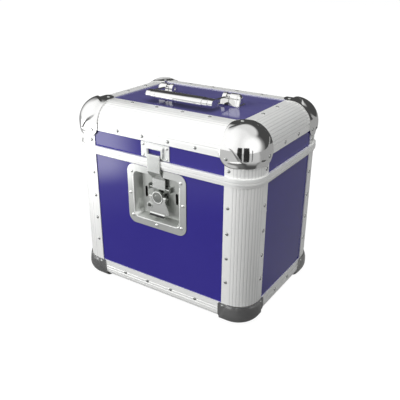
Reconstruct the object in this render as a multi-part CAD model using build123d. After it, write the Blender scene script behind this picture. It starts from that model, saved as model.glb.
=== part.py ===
from build123d import *
import os
from math import atan2, cos, pi, sin, sqrt

# Record carrying case for 12-inch records: laminated plywood panels in rounded aluminium edges,
# a hinged lid, a butterfly twist latch in a recessed dish and a fold-down carrying handle.
# The origin is on the floor under the middle of the case. +Z is up, the latch is on the -Y side.

os.makedirs("parts", exist_ok=True)

# ---------------------------------------------------------------- the case as a whole
case_width = 356.0
case_depth = 256.0
case_height = 336.0
lid_depth = 79.5
base_lift = 2.6
seam_gap = 0.2

# Panels and edge sheet
panel = 6.5
sheet = 1.6
fit = 0.05
panel_grip = 6.0
edge_radius = 38.0
base_radius = 18.0
post_reach = 49.0
top_edge_drop = 45.3
top_edge_reach = 50.0
base_edge_rise = 35.4
base_edge_reach = 40.0

# Closing rims, as a band round the mouth of the body and of the lid
rim_proud = 3.5
rim_lip_proud = 1.5
rim_lip_height = 4.5
body_band = 4.0
lid_band = 6.3
rim_web = 1.6
rim_flange_height = 13.0
tongue_height = 3.4
tongue_width = 2.6
tongue_inset = 3.4
tongue_slack = 0.5
swing_slack = 0.9

# Rivets
rivet_head_radius = 3.1
rivet_head_height = 1.5
rivet_radius = 1.6
drill_depth = 15.0
rivet_pitch = 51.0
post_rivet_inset = 41.7
post_rivet_foot = 42.0
post_rivet_head = 36.0
post_rivet_pitch = 44.0
lid_post_rivet_rise = 15.5
lid_row_drop = 38.5
top_row_inset = 41.0
base_row_rise = 23.4
under_row_inset = 30.0

# Ball corners of the lid and corners of the base
cap_gap = 0.1
cap_sheet = 1.6
dome_radius = 42.5
skirt_radius = 44.5
crease_inset = 34.5
ball_rivet_inset = 46.0
ball_rivet_drop = 45.0
base_cap_reach = 54.6
base_cap_rise = 35.4
base_cap_chamfer = 4.0
foot_dome_proud = 4.6
foot_dome_radius = 43.4
foot_dome_rise = 18.0
foot_crease_high = 40.2
foot_crease_low = 53.0
foot_facet_low = 24.0
base_cap_rivet_inset = 45.5
base_cap_rivet_rise = 33.0

# Stop hinges on the back
hinge_inset = 88.0
hinge_width = 60.0
hinge_sheet = 1.6
hinge_gap = 0.3
knuckle_radius = 3.2
knuckle_count = 5
knuckle_slack = 0.3
hinge_pin_radius = 1.6
body_leaf_drop = 42.5
lid_leaf_gap = 1.8
leaf_bend = 5.0
leaf_row_margin = 9.5
lid_leaf_row_margin = 9.8
hinge_rivet_pitch = 21.0
hinge_row_pitch = 11.0

# Latch dish in the front panel: a flange round a recess whose four walls lean inwards
dish_width = 119.0
dish_height = 108.2
dish_drop = 9.7
dish_corner = 15.0
dish_sheet = 1.5
dish_depth = 15.0
flange_side = 13.0
flange_head = 12.3
flange_foot = 13.4
mouth_corner = 8.0
wall_lean_side = 7.5
wall_lean_head = 4.5
wall_lean_foot = 5.0
floor_corner = 6.0
notch_width = 29.0
notch_margin = 1.5
dish_cut_slack = 0.5
dish_slot_width = 5.0
dish_slot_height = 20.0
dish_slot_inset = 7.5
dish_rivet_corner_inset = 9.5
dish_rivet_side_inset = 5.9
dish_rivet_side_rise = 1.0
dish_rivet_head = 13.8
dish_rivet_foot = 14.0
dish_rivet_lowest = 6.4
eye_tab_width = 2.3
eye_tab_height = 10.0
eye_tab_x = 19.4
eye_tab_drop = 17.0
eye_tab_hole = 2.4

# Latch works: stud, rotor with its eccentric, slider, hook and wing
latch_drop = 61.5
running_gap = 0.3
slide_fit = 0.05
stud_radius = 3.5
stud_head_radius = 5.0
stud_head_height = 1.8
rotor_radius = 11.0
eccentric_radius = 8.5
throw = 3.0
yoke_slack = 1.1
yoke_side_slack = 0.6
yoke_wall = 3.0
slider_sheet = 1.6
ear_spread = 44.2
ear_height = 10.0
hook_pin_rise = 14.5
hook_pin_radius = 1.2
hook_knuckle_radius = 2.5
hook_width = 25.4
hook_sheet = 2.0
hook_bend_low = 16.8
hook_bend_drop = 14.0
hook_gap = 0.3
hook_bar_gap = 0.8
hook_lip = 4.2
hook_roll = 1.8
wing_gap = 0.4
wing_pin_radius = 1.3
wing_pin_end = 16.8
wing_knuckle_radius = 2.3
wing_knuckle_width = 5.2
wing_sheet = 1.6
wing_cut_slack = 0.7
wing_half_waist = 15.5
wing_half_foot = 23.2
wing_length = 28.5
wing_corner = 4.0
wing_lip_half = 15.0
wing_lip_length = 5.0
wing_lip_lean = 3.2
wing_eye_x = 15.5
wing_eye_drop = 17.0
wing_eye_radius = 4.2
wing_eye_collar = 1.3
wing_eye_proud = 0.9

# Catch plate on the lid
catch_width = 56.0
catch_low = 7.5
catch_top_gap = 0.8
catch_sheet = 1.5
bridge_width = 33.0
bridge_low = 1.0
bridge_head = 3.7
bridge_bend = 3.0
window_width = 27.6
window_low = 5.2
window_head = 5.5
catch_rivet_inset = 4.5
catch_rivet_foot = 3.0
catch_rivet_head = 4.2

# Carrying handle on the lid
handle_pivot_rise = 11.6
bracket_inner = 38.0
bracket_outer = 86.0
bracket_depth = 24.0
bracket_base = 2.5
cheek_inner = 51.0
cheek_outer = 84.0
cheek_radius = 8.6
cheek_round = 7.0
arm_centre = 61.5
arm_width = 6.4
arm_slack = 0.5
arm_eye_radius = 7.0
arm_height = 9.0
handle_pin_radius = 2.5
handle_pin_inner = 52.0
handle_pin_outer = 74.0
grip_reach = 54.0
grip_rise = 2.0
grip_half_length = 57.0
grip_section_depth = 24.0
grip_section_height = 14.0
grip_corner = 4.5
grip_core_radius = 4.0
collar_width = 8.6
collar_depth = 20.0
collar_height = 12.0
handle_screw_radius = 2.0
handle_screw_head = 3.6
handle_screw_head_height = 1.8
handle_screw_inset = 6.0

# ---------------------------------------------------------------- places that follow from these
half_width = case_width / 2
half_depth = case_depth / 2
panel_x = half_width - sheet
panel_y = half_depth - sheet
seam_height = case_height - lid_depth
panel_top = case_height - sheet
floor_top = base_lift + sheet + panel
body_panel_top = seam_height - rim_web
post_top = seam_height - body_band - rim_lip_height
base_edge_top = base_lift + base_edge_rise
lid_low = seam_height + seam_gap
groove_height = tongue_height + tongue_slack + seam_gap
lid_web_top = lid_low + groove_height + rim_web / 2
lid_post_low = lid_low + lid_band
lid_post_top = case_height - top_edge_drop
through_panel = sheet + panel

front_y = -panel_y
dish_face = front_y - dish_sheet
dish_floor = -half_depth + dish_depth
dish_high = seam_height - dish_drop
dish_low = dish_high - dish_height
mouth_width = dish_width - 2 * flange_side
mouth_high = dish_high - flange_head
mouth_low = dish_low + flange_foot
floor_width = mouth_width - 2 * wall_lean_side
floor_high = mouth_high - wall_lean_head
floor_low = mouth_low + wall_lean_foot
notch_high = dish_high - notch_margin

hinge_y = half_depth + rim_proud + hinge_gap + knuckle_radius
hinge_z = seam_height + seam_gap / 2
lid_leaf_rise = lid_post_top - lid_leaf_gap - hinge_z

latch_height = seam_height - latch_drop
slider_back = dish_floor - running_gap
slider_front = slider_back - slider_sheet
rotor_back = slider_front - running_gap / 2
hook_pin_y = slider_front - running_gap - hook_knuckle_radius
hook_pin_z = latch_height + hook_pin_rise
hook_front = hook_pin_y - hook_knuckle_radius
wing_pin_y = hook_front - wing_gap - wing_knuckle_radius
rotor_front = wing_pin_y - wing_knuckle_radius - fit
wing_front = wing_pin_y - wing_knuckle_radius
wing_back = wing_front + wing_sheet
stud_front = wing_pin_y + wing_pin_radius + running_gap

strap_back = -half_depth - rim_proud - hook_gap
strap_front = strap_back - hook_sheet
catch_front = front_y - catch_sheet
catch_z = lid_low + catch_low
catch_high = lid_post_top - catch_top_gap
bridge_front = -half_depth - rim_proud
bridge_z = catch_z + bridge_low
bridge_high = catch_high - bridge_head
window_z = catch_z + window_low
window_high = bridge_high - window_head
lip_low = window_z + hook_bar_gap

pivot_z = panel_top + handle_pivot_rise
grip_y = -grip_reach
grip_z = pivot_z + grip_rise

LOW = (Align.CENTER, Align.CENTER, Align.MIN)
SIDES = {"left": -1, "right": 1}
ENDS = {"front": -1, "back": 1}


# ---------------------------------------------------------------- helpers
def block(x0, x1, y0, y1, z0, z1):
    """A box between two corners."""
    size = (abs(x1 - x0), abs(y1 - y0), abs(z1 - z0))
    return Pos((x0 + x1) / 2, (y0 + y1) / 2, (z0 + z1) / 2) * Box(*size)


def rod(radius, start, end):
    """A round bar between two points."""
    a, b = Vector(*start), Vector(*end)
    plane = Plane(origin=a, z_dir=b - a)
    return plane * Cylinder(radius, (b - a).length, align=LOW)


def plate(outline, direction, start, end):
    """An outline drawn in (Y, Z) along X, or in (X, Z) along Y, extruded from start to end."""
    if direction == "x":
        base = Plane(origin=(start, 0, 0), x_dir=(0, 1, 0), z_dir=(1, 0, 0))
        return extrude(base * outline, amount=end - start)
    base = Plane(origin=(0, start, 0), x_dir=(1, 0, 0), z_dir=(0, -1, 0))
    return extrude(base * outline, amount=start - end)


def bent_strip(points, thickness):
    """The cross-section of a bent sheet: one face follows the points, the other lies to their left."""
    path = [Vector(*p) for p in points]
    other = []
    for i, point in enumerate(path):
        before = path[i] - path[i - 1] if i > 0 else path[1] - path[0]
        after = path[i + 1] - path[i] if i < len(path) - 1 else before
        turn = atan2(after.Y, after.X) - atan2(before.Y, before.X)
        turn = (turn + pi) % (2 * pi) - pi
        heading = atan2(before.Y, before.X) + turn / 2 + pi / 2
        reach = thickness / cos(turn / 2)
        other.append(point + Vector(reach * cos(heading), reach * sin(heading)))
    return make_face(Polyline(*path, *reversed(other), close=True))


def seat(face, u, v, proud=0.0):
    """A plane on one face of the case, its normal outwards. u runs along the face, v is the height,
    or the Y of a point on the top or underside."""
    if face in SIDES:
        sign = SIDES[face]
        return Plane(origin=(sign * (half_width + proud), u, v), x_dir=(0, 1, 0), z_dir=(sign, 0, 0))
    if face in ENDS:
        sign = ENDS[face]
        return Plane(origin=(u, sign * (half_depth + proud), v), x_dir=(1, 0, 0), z_dir=(0, sign, 0))
    if face == "top":
        return Plane(origin=(u, v, case_height + proud), x_dir=(1, 0, 0), z_dir=(0, 0, 1))
    return Plane(origin=(u, v, base_lift - proud), x_dir=(1, 0, 0), z_dir=(0, 0, -1))


def rivet(place, grip=through_panel):
    """A domed rivet whose head sits on the plane and whose shank passes a stack of the given grip."""
    sphere = (rivet_head_radius**2 + rivet_head_height**2) / (2 * rivet_head_height)
    cap = Pos(0, 0, rivet_head_height - sphere) * Sphere(sphere)
    head = cap & Cylinder(rivet_head_radius, rivet_head_height, align=LOW)
    shank = Pos(0, 0, -grip) * Cylinder(rivet_radius, grip + rivet_head_height / 2, align=LOW)
    return place * (head + shank)


def drill(shape, places):
    """Rivet holes through a panel and what lies on it."""
    holes = [place * Cylinder(rivet_radius + fit, 2 * drill_depth) for place in places]
    return shape - holes


def near(places, shape):
    """Those places whose hole can meet the shape, so that no cut is wasted."""
    box = shape.bounding_box()
    slack = through_panel
    kept = []
    for place in places:
        o = place.origin
        inside = box.min.X - slack < o.X < box.max.X + slack
        inside = inside and box.min.Y - slack < o.Y < box.max.Y + slack
        if inside and box.min.Z - slack < o.Z < box.max.Z + slack:
            kept.append(place)
    return kept


def row(count, pitch):
    """Evenly spaced places about the middle."""
    return [(i - (count - 1) / 2) * pitch for i in range(count)]


def lid_form(grow):
    """The rounded outside of the lid, continued downwards, grown outwards by a margin."""
    low = seam_height - 2 * edge_radius
    size = (case_width + 2 * grow, case_depth + 2 * grow, case_height + grow - low)
    form = Pos(0, 0, low) * Box(*size, align=LOW)
    edges = form.edges().filter_by(Axis.Z) + form.edges().group_by(Axis.Z)[-1]
    return fillet(edges, edge_radius + grow)


def base_form(grow, under=None):
    """The rounded outside of the body, continued upwards, grown outwards and downwards."""
    under = grow if under is None else under
    low = base_lift - under
    size = (case_width + 2 * grow, case_depth + 2 * grow, case_height - low)
    form = Pos(0, 0, low) * Box(*size, align=LOW)
    form = fillet(form.edges().filter_by(Axis.Z), edge_radius + grow)
    return fillet(form.edges().group_by(Axis.Z)[0], base_radius + under)


def edge_sheet(corner, inward_a, inward_b, radius, reach_a, reach_b, length):
    """A rounded angle of sheet along a case edge, centred at the point where its outer faces meet."""
    r, t = radius, sheet
    outline = Line((reach_a, 0), (r, 0))
    outline += RadiusArc((r, 0), (0, r), r)
    outline += Polyline((0, r), (0, reach_b), (t, reach_b), (t, r))
    outline += RadiusArc((t, r), (r, t), -(r - t))
    outline += Polyline((r, t), (reach_a, t), (reach_a, 0))
    normal = Vector(*inward_a).cross(Vector(*inward_b))
    place = Plane(origin=corner, x_dir=inward_a, z_dir=normal)
    return extrude(place * make_face(outline), amount=length / 2, both=True)


def rounded_outline(grow):
    """The plan of the case grown by a margin."""
    return RectangleRounded(case_width + 2 * grow, case_depth + 2 * grow, edge_radius + grow)


def ring(outer, inner, low, high):
    """A closed band round the case between two margins and two heights."""
    return Pos(0, 0, low) * extrude(rounded_outline(outer) - rounded_outline(inner), amount=high - low)


# ---------------------------------------------------------------- rivet rows
cap_proud = cap_gap + cap_sheet
post_rivet_low = base_edge_top + post_rivet_foot
post_rivet_span = post_top - post_rivet_head - post_rivet_low
post_rivet_steps = max(1, round(post_rivet_span / post_rivet_pitch))
post_rivet_step = post_rivet_span / post_rivet_steps
post_heights = [post_rivet_low + i * post_rivet_step for i in range(post_rivet_steps + 1)]

post_rows, lid_post_rows, base_rows, lid_rows = [], [], [], []
base_cap_places, ball_places = [], []
for faces, half, count in ((ENDS, half_width, 4), (SIDES, half_depth, 2)):
    for face in faces:
        for sign in (-1, 1):
            across = sign * (half - post_rivet_inset)
            post_rows += [seat(face, across, z) for z in post_heights]
            lid_post_rows.append(seat(face, across, lid_low + lid_post_rivet_rise))
            across = sign * (half - base_cap_rivet_inset)
            base_cap_places.append(seat(face, across, base_cap_rivet_rise, cap_proud))
            across = sign * (half - ball_rivet_inset)
            ball_places.append(seat(face, across, case_height - ball_rivet_drop, cap_proud))
        for u in row(count, rivet_pitch):
            base_rows.append(seat(face, u, base_lift + base_row_rise))
            lid_rows.append(seat(face, u, case_height - lid_row_drop))
for sign in (-1, 1):
    for u in row(4, rivet_pitch):
        lid_rows.append(seat("top", u, sign * (half_depth - top_row_inset)))
        base_rows.append(seat("under", u, sign * (half_depth - under_row_inset)))
    for v in row(2, rivet_pitch):
        lid_rows.append(seat("top", sign * (half_width - top_row_inset), v))
        base_rows.append(seat("under", sign * (half_width - under_row_inset), v))
    for end in (-1, 1):
        u = sign * (half_width - ball_rivet_inset)
        v = end * (half_depth - ball_rivet_drop)
        ball_places.append(seat("top", u, v, cap_proud))

dish_spots = [(0.0, dish_low + dish_rivet_lowest)]
for sign in (-1, 1):
    x = sign * (dish_width / 2 - dish_rivet_corner_inset)
    dish_spots.append((x, dish_high - dish_rivet_head))
    dish_spots.append((x, dish_low + dish_rivet_foot))
    middle = (dish_high - dish_rivet_head + dish_low + dish_rivet_foot) / 2
    x = sign * (dish_width / 2 - dish_rivet_side_inset)
    dish_spots.append((x, middle + dish_rivet_side_rise))
dish_places = [seat("front", x, z, dish_sheet - sheet) for x, z in dish_spots]

catch_places = []
for sign in (-1, 1):
    x = sign * (catch_width / 2 - catch_rivet_inset)
    for z in (catch_z + catch_rivet_foot, catch_high - catch_rivet_head):
        catch_places.append(seat("front", x, z, catch_sheet - sheet))

hinge_centres = (hinge_inset - half_width, half_width - hinge_inset)
body_leaf_places, lid_leaf_places = [], []
for x in hinge_centres:
    for u in row(3, hinge_rivet_pitch):
        proud = hinge_sheet - sheet
        high = hinge_z + lid_leaf_rise - lid_leaf_row_margin
        lid_leaf_places.append(seat("back", x + u, high, proud))
        low = hinge_z - body_leaf_drop + leaf_row_margin
        for z in (low, low + hinge_row_pitch):
            body_leaf_places.append(seat("back", x + u, z, proud))

body_places = post_rows + base_rows + base_cap_places + dish_places + body_leaf_places
lid_places = lid_post_rows + lid_rows + ball_places + catch_places + lid_leaf_places

body_inside = base_form(-sheet - fit)
lid_inside = lid_form(-sheet - fit)


# ---------------------------------------------------------------- panels
def upright_panel(face, low, high, inside, places):
    """One laminated board of a side wall, its ends trimmed to the curve of the edges round it."""
    if face in ENDS:
        sign, reach = ENDS[face], half_width - edge_radius + panel_grip
        board = block(-reach, reach, sign * (panel_y - panel), sign * panel_y, low, high)
    else:
        sign, reach = SIDES[face], half_depth - edge_radius + panel_grip
        board = block(sign * (panel_x - panel), sign * panel_x, -reach, reach, low, high)
    board = board & inside
    return drill(board, near(places, board))


def flat_panel(low, reach_x, reach_y, inside, places):
    """The bottom board or the top board."""
    board = block(-reach_x, reach_x, -reach_y, reach_y, low, low + panel) & inside
    return drill(board, near(places, board))


def dish_opening():
    """What is sawn out of the front panel for the dish."""
    slack = dish_sheet + dish_cut_slack
    wide = mouth_width / 2 + slack
    notch = notch_width / 2 + slack
    opening = block(-wide, wide, front_y - 1, front_y + panel + 1, mouth_low - slack, mouth_high + slack)
    opening = fillet(opening.edges().filter_by(Axis.Y), mouth_corner)
    return opening + block(-notch, notch, front_y - 1, front_y + panel + 1, floor_high, notch_high + slack)


def bottom_panel():
    return flat_panel(base_lift + sheet, panel_x - panel, panel_y - panel, body_inside, body_places)


def top_panel():
    reach_x = half_width - edge_radius + panel_grip
    reach_y = half_depth - edge_radius + panel_grip
    board = flat_panel(panel_top - panel, reach_x, reach_y, lid_inside, lid_places)
    holes = []
    for x, y in handle_screw_spots():
        holes.append(rod(handle_screw_radius + fit, (x, y, panel_top - 2 * panel), (x, y, panel_top + 1)))
    return board - holes


# ---------------------------------------------------------------- edges and corners
def post(sx, sy, low, high, places):
    """An upright corner post."""
    corner = (sx * half_width, sy * half_depth, (low + high) / 2)
    shape = edge_sheet(corner, (-sx, 0, 0), (0, -sy, 0), edge_radius, post_reach, post_reach, high - low)
    return drill(shape, near(places, shape))


def long_edge(sy, z, up, radius, reach, rise, places):
    """An edge along the width, at the front or back, at the top or at the base."""
    length = case_width - 2 * edge_radius
    corner = (0, sy * half_depth, z)
    shape = edge_sheet(corner, (0, -sy, 0), (0, 0, up), radius, reach, rise, length)
    return drill(shape, near(places, shape))


def short_edge(sx, z, up, radius, reach, rise, places):
    """An edge along the depth, cut to lie between the two long edges."""
    length = case_depth - 2 * reach
    corner = (sx * half_width, 0, z)
    shape = edge_sheet(corner, (-sx, 0, 0), (0, 0, up), radius, reach, rise, length)
    return drill(shape, near(places, shape))


def trim_dome(dome, sx, sy, inset):
    """The dome ends at a straight crease on each face, where its flat riveted ear begins."""
    for kx, ky, kz in ((1, -1, 1), (-1, 1, 1), (1, 1, -1)):
        a, b, c = (inset if k > 0 else 0.0 for k in (kx, ky, kz))
        origin = (sx * (half_width - a), sy * (half_depth - b), case_height - c)
        crease = Plane(origin=origin, z_dir=(-sx * kx, -sy * ky, -kz))
        dome = split(dome, bisect_by=crease, keep=Keep.BOTTOM)
    return dome


def ball_corner(sx, sy):
    """A pressed steel ball corner: a hollow dome and a thin skirt with a riveted ear on each face."""
    x, y = sx * (half_width - edge_radius), sy * (half_depth - edge_radius)
    centre = Pos(x, y, case_height - edge_radius)
    skirt = lid_form(cap_gap + cap_sheet) & centre * Sphere(skirt_radius)
    dome = trim_dome(centre * Sphere(dome_radius), sx, sy, crease_inset)
    hollow = trim_dome(centre * Sphere(dome_radius - cap_sheet), sx, sy, crease_inset - cap_sheet)
    cap = skirt + dome - hollow - lid_form(cap_gap)
    return drill(cap, near(ball_places, cap))


def foot_dome(sx, sy, inset):
    """The bulge of a base corner, flat underneath, creased toward its ears and across the corner."""
    x, y, z = half_width - edge_radius, half_depth - edge_radius, base_lift + foot_dome_rise
    dome = base_form(foot_dome_proud - inset, base_lift - inset)
    dome = dome & Pos(sx * x, sy * y, z) * Sphere(foot_dome_radius - inset)
    high = base_lift + base_cap_rise
    lean = (foot_crease_low - foot_crease_high) / high
    for along_x in (True, False):
        origin_in, origin_out = foot_crease_high - inset * sqrt(2 + lean**2), cap_proud
        if along_x:
            origin = (sx * (half_width - origin_in), sy * (half_depth + origin_out), high)
            normal = (-sx, sy, lean)
        else:
            origin = (sx * (half_width + origin_out), sy * (half_depth - origin_in), high)
            normal = (sx, -sy, lean)
        dome = split(dome, bisect_by=Plane(origin=origin, z_dir=normal), keep=Keep.BOTTOM)
    out = (edge_radius + foot_dome_proud - inset) / sqrt(2)
    lean = (foot_dome_proud - cap_proud) / (high - foot_facet_low) * sqrt(2)
    facet = Plane(origin=(sx * (x + out), sy * (y + out), foot_facet_low), z_dir=(sx, sy, lean))
    return split(dome, bisect_by=facet, keep=Keep.BOTTOM)


def base_corner(sx, sy):
    """A pressed corner that wraps the foot of a post and carries the case on the floor."""
    far = 2 * edge_radius
    high = base_lift + base_cap_rise
    slope = base_cap_chamfer
    views = []
    for half in (half_width, half_depth):
        near_end = half - base_cap_reach
        corners = [(near_end, -far), (near_end, high - slope), (near_end + slope, high)]
        views.append(corners + [(half + far, high), (half + far, -far)])
    across = make_face(Polyline(*[(sx * u, z) for u, z in views[0]], close=True))
    along = make_face(Polyline(*[(sy * v, z) for v, z in views[1]], close=True))
    region = plate(across, "y", 0, sy * (half_depth + far))
    region = region & plate(along, "x", 0, sx * (half_width + far))
    cap = (base_form(cap_proud) & region) + (foot_dome(sx, sy, 0) & region)
    cap = cap - foot_dome(sx, sy, cap_sheet) - base_form(cap_gap)
    return drill(cap, near(base_cap_places, cap))


# ---------------------------------------------------------------- rims
def body_rim():
    """The body's closing rim: a band proud of the wall, a web over the boards and a tongue."""
    band_low = seam_height - body_band
    inner = -through_panel - rim_web
    shape = ring(rim_proud, -sheet, band_low, seam_height)
    shape += ring(rim_lip_proud, -sheet, band_low - rim_lip_height, band_low)
    shape += ring(rim_proud, inner, body_panel_top, seam_height)
    shape += ring(-through_panel, inner, seam_height - rim_flange_height, body_panel_top)
    tongue_high = seam_height + tongue_height
    shape += ring(-tongue_inset, -tongue_inset - tongue_width, seam_height, tongue_high)
    return shape


def lid_rim():
    """The lid's closing rim, with the groove that takes the tongue as the lid swings down."""
    inner = -through_panel - rim_web
    shape = ring(rim_proud, inner, lid_low, lid_web_top)
    shape += ring(rim_proud, -sheet, lid_web_top, lid_post_low)
    shape += ring(-through_panel, inner, lid_web_top, lid_low + rim_flange_height)
    groove_in = -tongue_inset - tongue_width - swing_slack
    shape -= ring(-tongue_inset + tongue_slack, groove_in, lid_low, lid_low + groove_height)
    return shape


# ---------------------------------------------------------------- hinges
def hinge_leaf(centre, toward_lid):
    """One leaf of a stop hinge: a plate on the panel, stepped out over the rim to its knuckles."""
    out = hinge_y - knuckle_radius
    side = 1 if toward_lid else -1
    end = hinge_z + side * (lid_leaf_rise if toward_lid else body_leaf_drop)
    rim_edge = lid_post_low if toward_lid else post_top
    step = rim_edge + side * hinge_gap
    line = [(panel_y, end), (panel_y, step + side * leaf_bend), (out, step), (out, hinge_z)]
    if toward_lid:
        section = bent_strip(line, hinge_sheet)
    else:
        section = bent_strip(line, -hinge_sheet)
    half = hinge_width / 2
    leaf = plate(section, "x", centre - half, centre + half)
    leaf += rod(knuckle_radius, (centre - half, hinge_y, hinge_z), (centre + half, hinge_y, hinge_z))
    pitch = hinge_width / knuckle_count
    clear = knuckle_radius + hinge_gap
    for i in range(knuckle_count):
        if (i % 2 == 0) == toward_lid:
            left = centre - half + i * pitch - (knuckle_slack if i else 1)
            right = centre - half + (i + 1) * pitch + (knuckle_slack if i < knuckle_count - 1 else 1)
            leaf -= block(left, right, out - 1, hinge_y + clear, hinge_z - clear, hinge_z + clear)
    bore = hinge_pin_radius + fit
    leaf -= rod(bore, (centre - half - 1, hinge_y, hinge_z), (centre + half + 1, hinge_y, hinge_z))
    places = lid_leaf_places if toward_lid else body_leaf_places
    return drill(leaf, near(places, leaf))


def hinge_pin(centre):
    half = hinge_width / 2
    return rod(hinge_pin_radius, (centre - half, hinge_y, hinge_z), (centre + half, hinge_y, hinge_z))


# ---------------------------------------------------------------- latch dish and stud
def tub(grow, front, back):
    """The recess as a tapered block with rounded corners, grown by a wall."""
    sections = []
    for y, wide, low, high, corner in (
        (front, mouth_width, mouth_low, mouth_high, mouth_corner),
        (back, floor_width, floor_low, floor_high, floor_corner),
    ):
        place = Plane(origin=(0, y, (low + high) / 2), x_dir=(1, 0, 0), z_dir=(0, -1, 0))
        sections.append(place * RectangleRounded(wide + 2 * grow, high - low + 2 * grow, corner + grow))
    block_shape = loft(sections)
    half = notch_width / 2 + grow
    wedge = Polyline(
        (front, notch_high + grow),
        (front, latch_height),
        (back, latch_height),
        (back, floor_high + grow),
        close=True,
    )
    return block_shape + plate(make_face(wedge), "x", -half, half)


def latch_dish():
    """The pressed steel dish that the latch works in."""
    middle = dish_low + dish_height / 2
    place = Plane(origin=(0, front_y, middle), x_dir=(1, 0, 0), z_dir=(0, -1, 0))
    flange = extrude(place * RectangleRounded(dish_width, dish_height, dish_corner), amount=dish_sheet)
    shape = flange + tub(dish_sheet, front_y, dish_floor + dish_sheet)
    shape -= tub(0, dish_face, dish_floor)
    slot = Plane(origin=(0, dish_floor - 1, latch_height), x_dir=(1, 0, 0), z_dir=(0, 1, 0))
    for sign in (-1, 1):
        x = sign * (floor_width / 2 - dish_slot_inset)
        outline = Pos(x, 0) * SlotOverall(dish_slot_height, dish_slot_width, rotation=90)
        shape -= extrude(slot * outline, amount=dish_sheet + 2)
    tab_low = latch_height - eye_tab_drop - eye_tab_height / 2
    tab_back = dish_floor + dish_sheet / 2
    tab_front = wing_back + wing_gap
    tab_left = -eye_tab_x - eye_tab_width / 2
    tab = block(tab_left, tab_left + eye_tab_width, tab_back, tab_front, tab_low, tab_low + eye_tab_height)
    hole_y = tab_front + eye_tab_hole + 2
    hole_z = latch_height - eye_tab_drop
    tab -= rod(eye_tab_hole, (tab_left - 1, hole_y, hole_z), (tab_left + eye_tab_width + 1, hole_y, hole_z))
    shape += tab
    return drill(shape, dish_places)


def latch_stud():
    """The headed stud on the dish floor that the rotor turns on."""
    head_back = stud_front + stud_head_height
    shape = rod(stud_radius, (0, dish_floor, latch_height), (0, stud_front, latch_height))
    return shape + rod(stud_head_radius, (0, head_back, latch_height), (0, stud_front, latch_height))


# ---------------------------------------------------------------- rotor, slider, hook and wing
def latch_rotor():
    """The turning boss. Behind it is an eccentric that lifts the slider."""
    shape = rod(rotor_radius, (0, rotor_back, latch_height), (0, rotor_front, latch_height))
    low = latch_height - throw
    shape += rod(eccentric_radius, (0, slider_back, low), (0, rotor_back, low))
    ahead = rotor_front - 1
    bore = stud_radius + slide_fit
    shape -= rod(bore, (0, slider_back + 1, latch_height), (0, ahead, latch_height))
    seat_y = stud_front + stud_head_height + running_gap / 2
    bore = stud_head_radius + slide_fit
    shape -= rod(bore, (0, seat_y, latch_height), (0, ahead, latch_height))
    end = rotor_radius + 1
    pin = wing_pin_radius + fit
    shape -= rod(pin, (-end, wing_pin_y, latch_height), (end, wing_pin_y, latch_height))
    return shape


def latch_cap():
    """A thin disc that closes the front of the rotor."""
    back = wing_pin_y - wing_pin_radius - running_gap
    return rod(stud_head_radius, (0, back, latch_height), (0, rotor_front, latch_height))


def wing_pin():
    end = wing_pin_end
    return rod(wing_pin_radius, (-end, wing_pin_y, latch_height), (end, wing_pin_y, latch_height))


def latch_slider():
    """The plate that the eccentric raises, with two ears for the hook's pin."""
    middle = latch_height - throw
    win_x = eccentric_radius + throw + yoke_side_slack
    win_z = eccentric_radius + yoke_slack
    arm = ear_height / 2
    outer = ear_spread / 2
    shape = block(-win_x - yoke_wall, win_x + yoke_wall, slider_front, slider_back,
                  middle - win_z - yoke_wall, hook_pin_z)
    shape += block(-outer, outer, slider_front, slider_back, hook_pin_z - arm, hook_pin_z + arm)
    for sign in (-1, 1):
        inner = sign * (outer - slider_sheet)
        shape += block(sign * outer, inner, hook_front, slider_back, hook_pin_z - arm, hook_pin_z + arm)
    shape -= block(-win_x, win_x, slider_front - 1, slider_back + 1, middle - win_z, middle + win_z)
    end = outer + 1
    shape -= rod(hook_pin_radius + fit, (-end, hook_pin_y, hook_pin_z), (end, hook_pin_y, hook_pin_z))
    return shape


def hook_pin():
    end = ear_spread / 2
    return rod(hook_pin_radius, (-end, hook_pin_y, hook_pin_z), (end, hook_pin_y, hook_pin_z))


def latch_hook():
    """The strap that hangs on the slider and hooks over the bar of the catch plate."""
    lip_tip = bridge_front + hook_lip
    lip_top = lip_low + hook_sheet
    line = [
        (hook_front, hook_pin_z),
        (hook_front, hook_pin_z + hook_bend_low),
        (strap_front, seam_height - hook_bend_drop),
        (strap_front, lip_top),
        (lip_tip, lip_top),
    ]
    half = hook_width / 2
    shape = plate(bent_strip(line, -hook_sheet), "x", -half, half)
    crown = [e for e in shape.edges().filter_by(Axis.X) if abs(e.center().Z - lip_top) < 0.01]
    crown = [e for e in crown if abs(e.center().Y - strap_front) < 0.01]
    shape = fillet(crown, hook_roll)
    shape += rod(hook_knuckle_radius, (-half, hook_pin_y, hook_pin_z), (half, hook_pin_y, hook_pin_z))
    bore = hook_pin_radius + fit
    return shape - rod(bore, (-half - 1, hook_pin_y, hook_pin_z), (half + 1, hook_pin_y, hook_pin_z))


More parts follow.
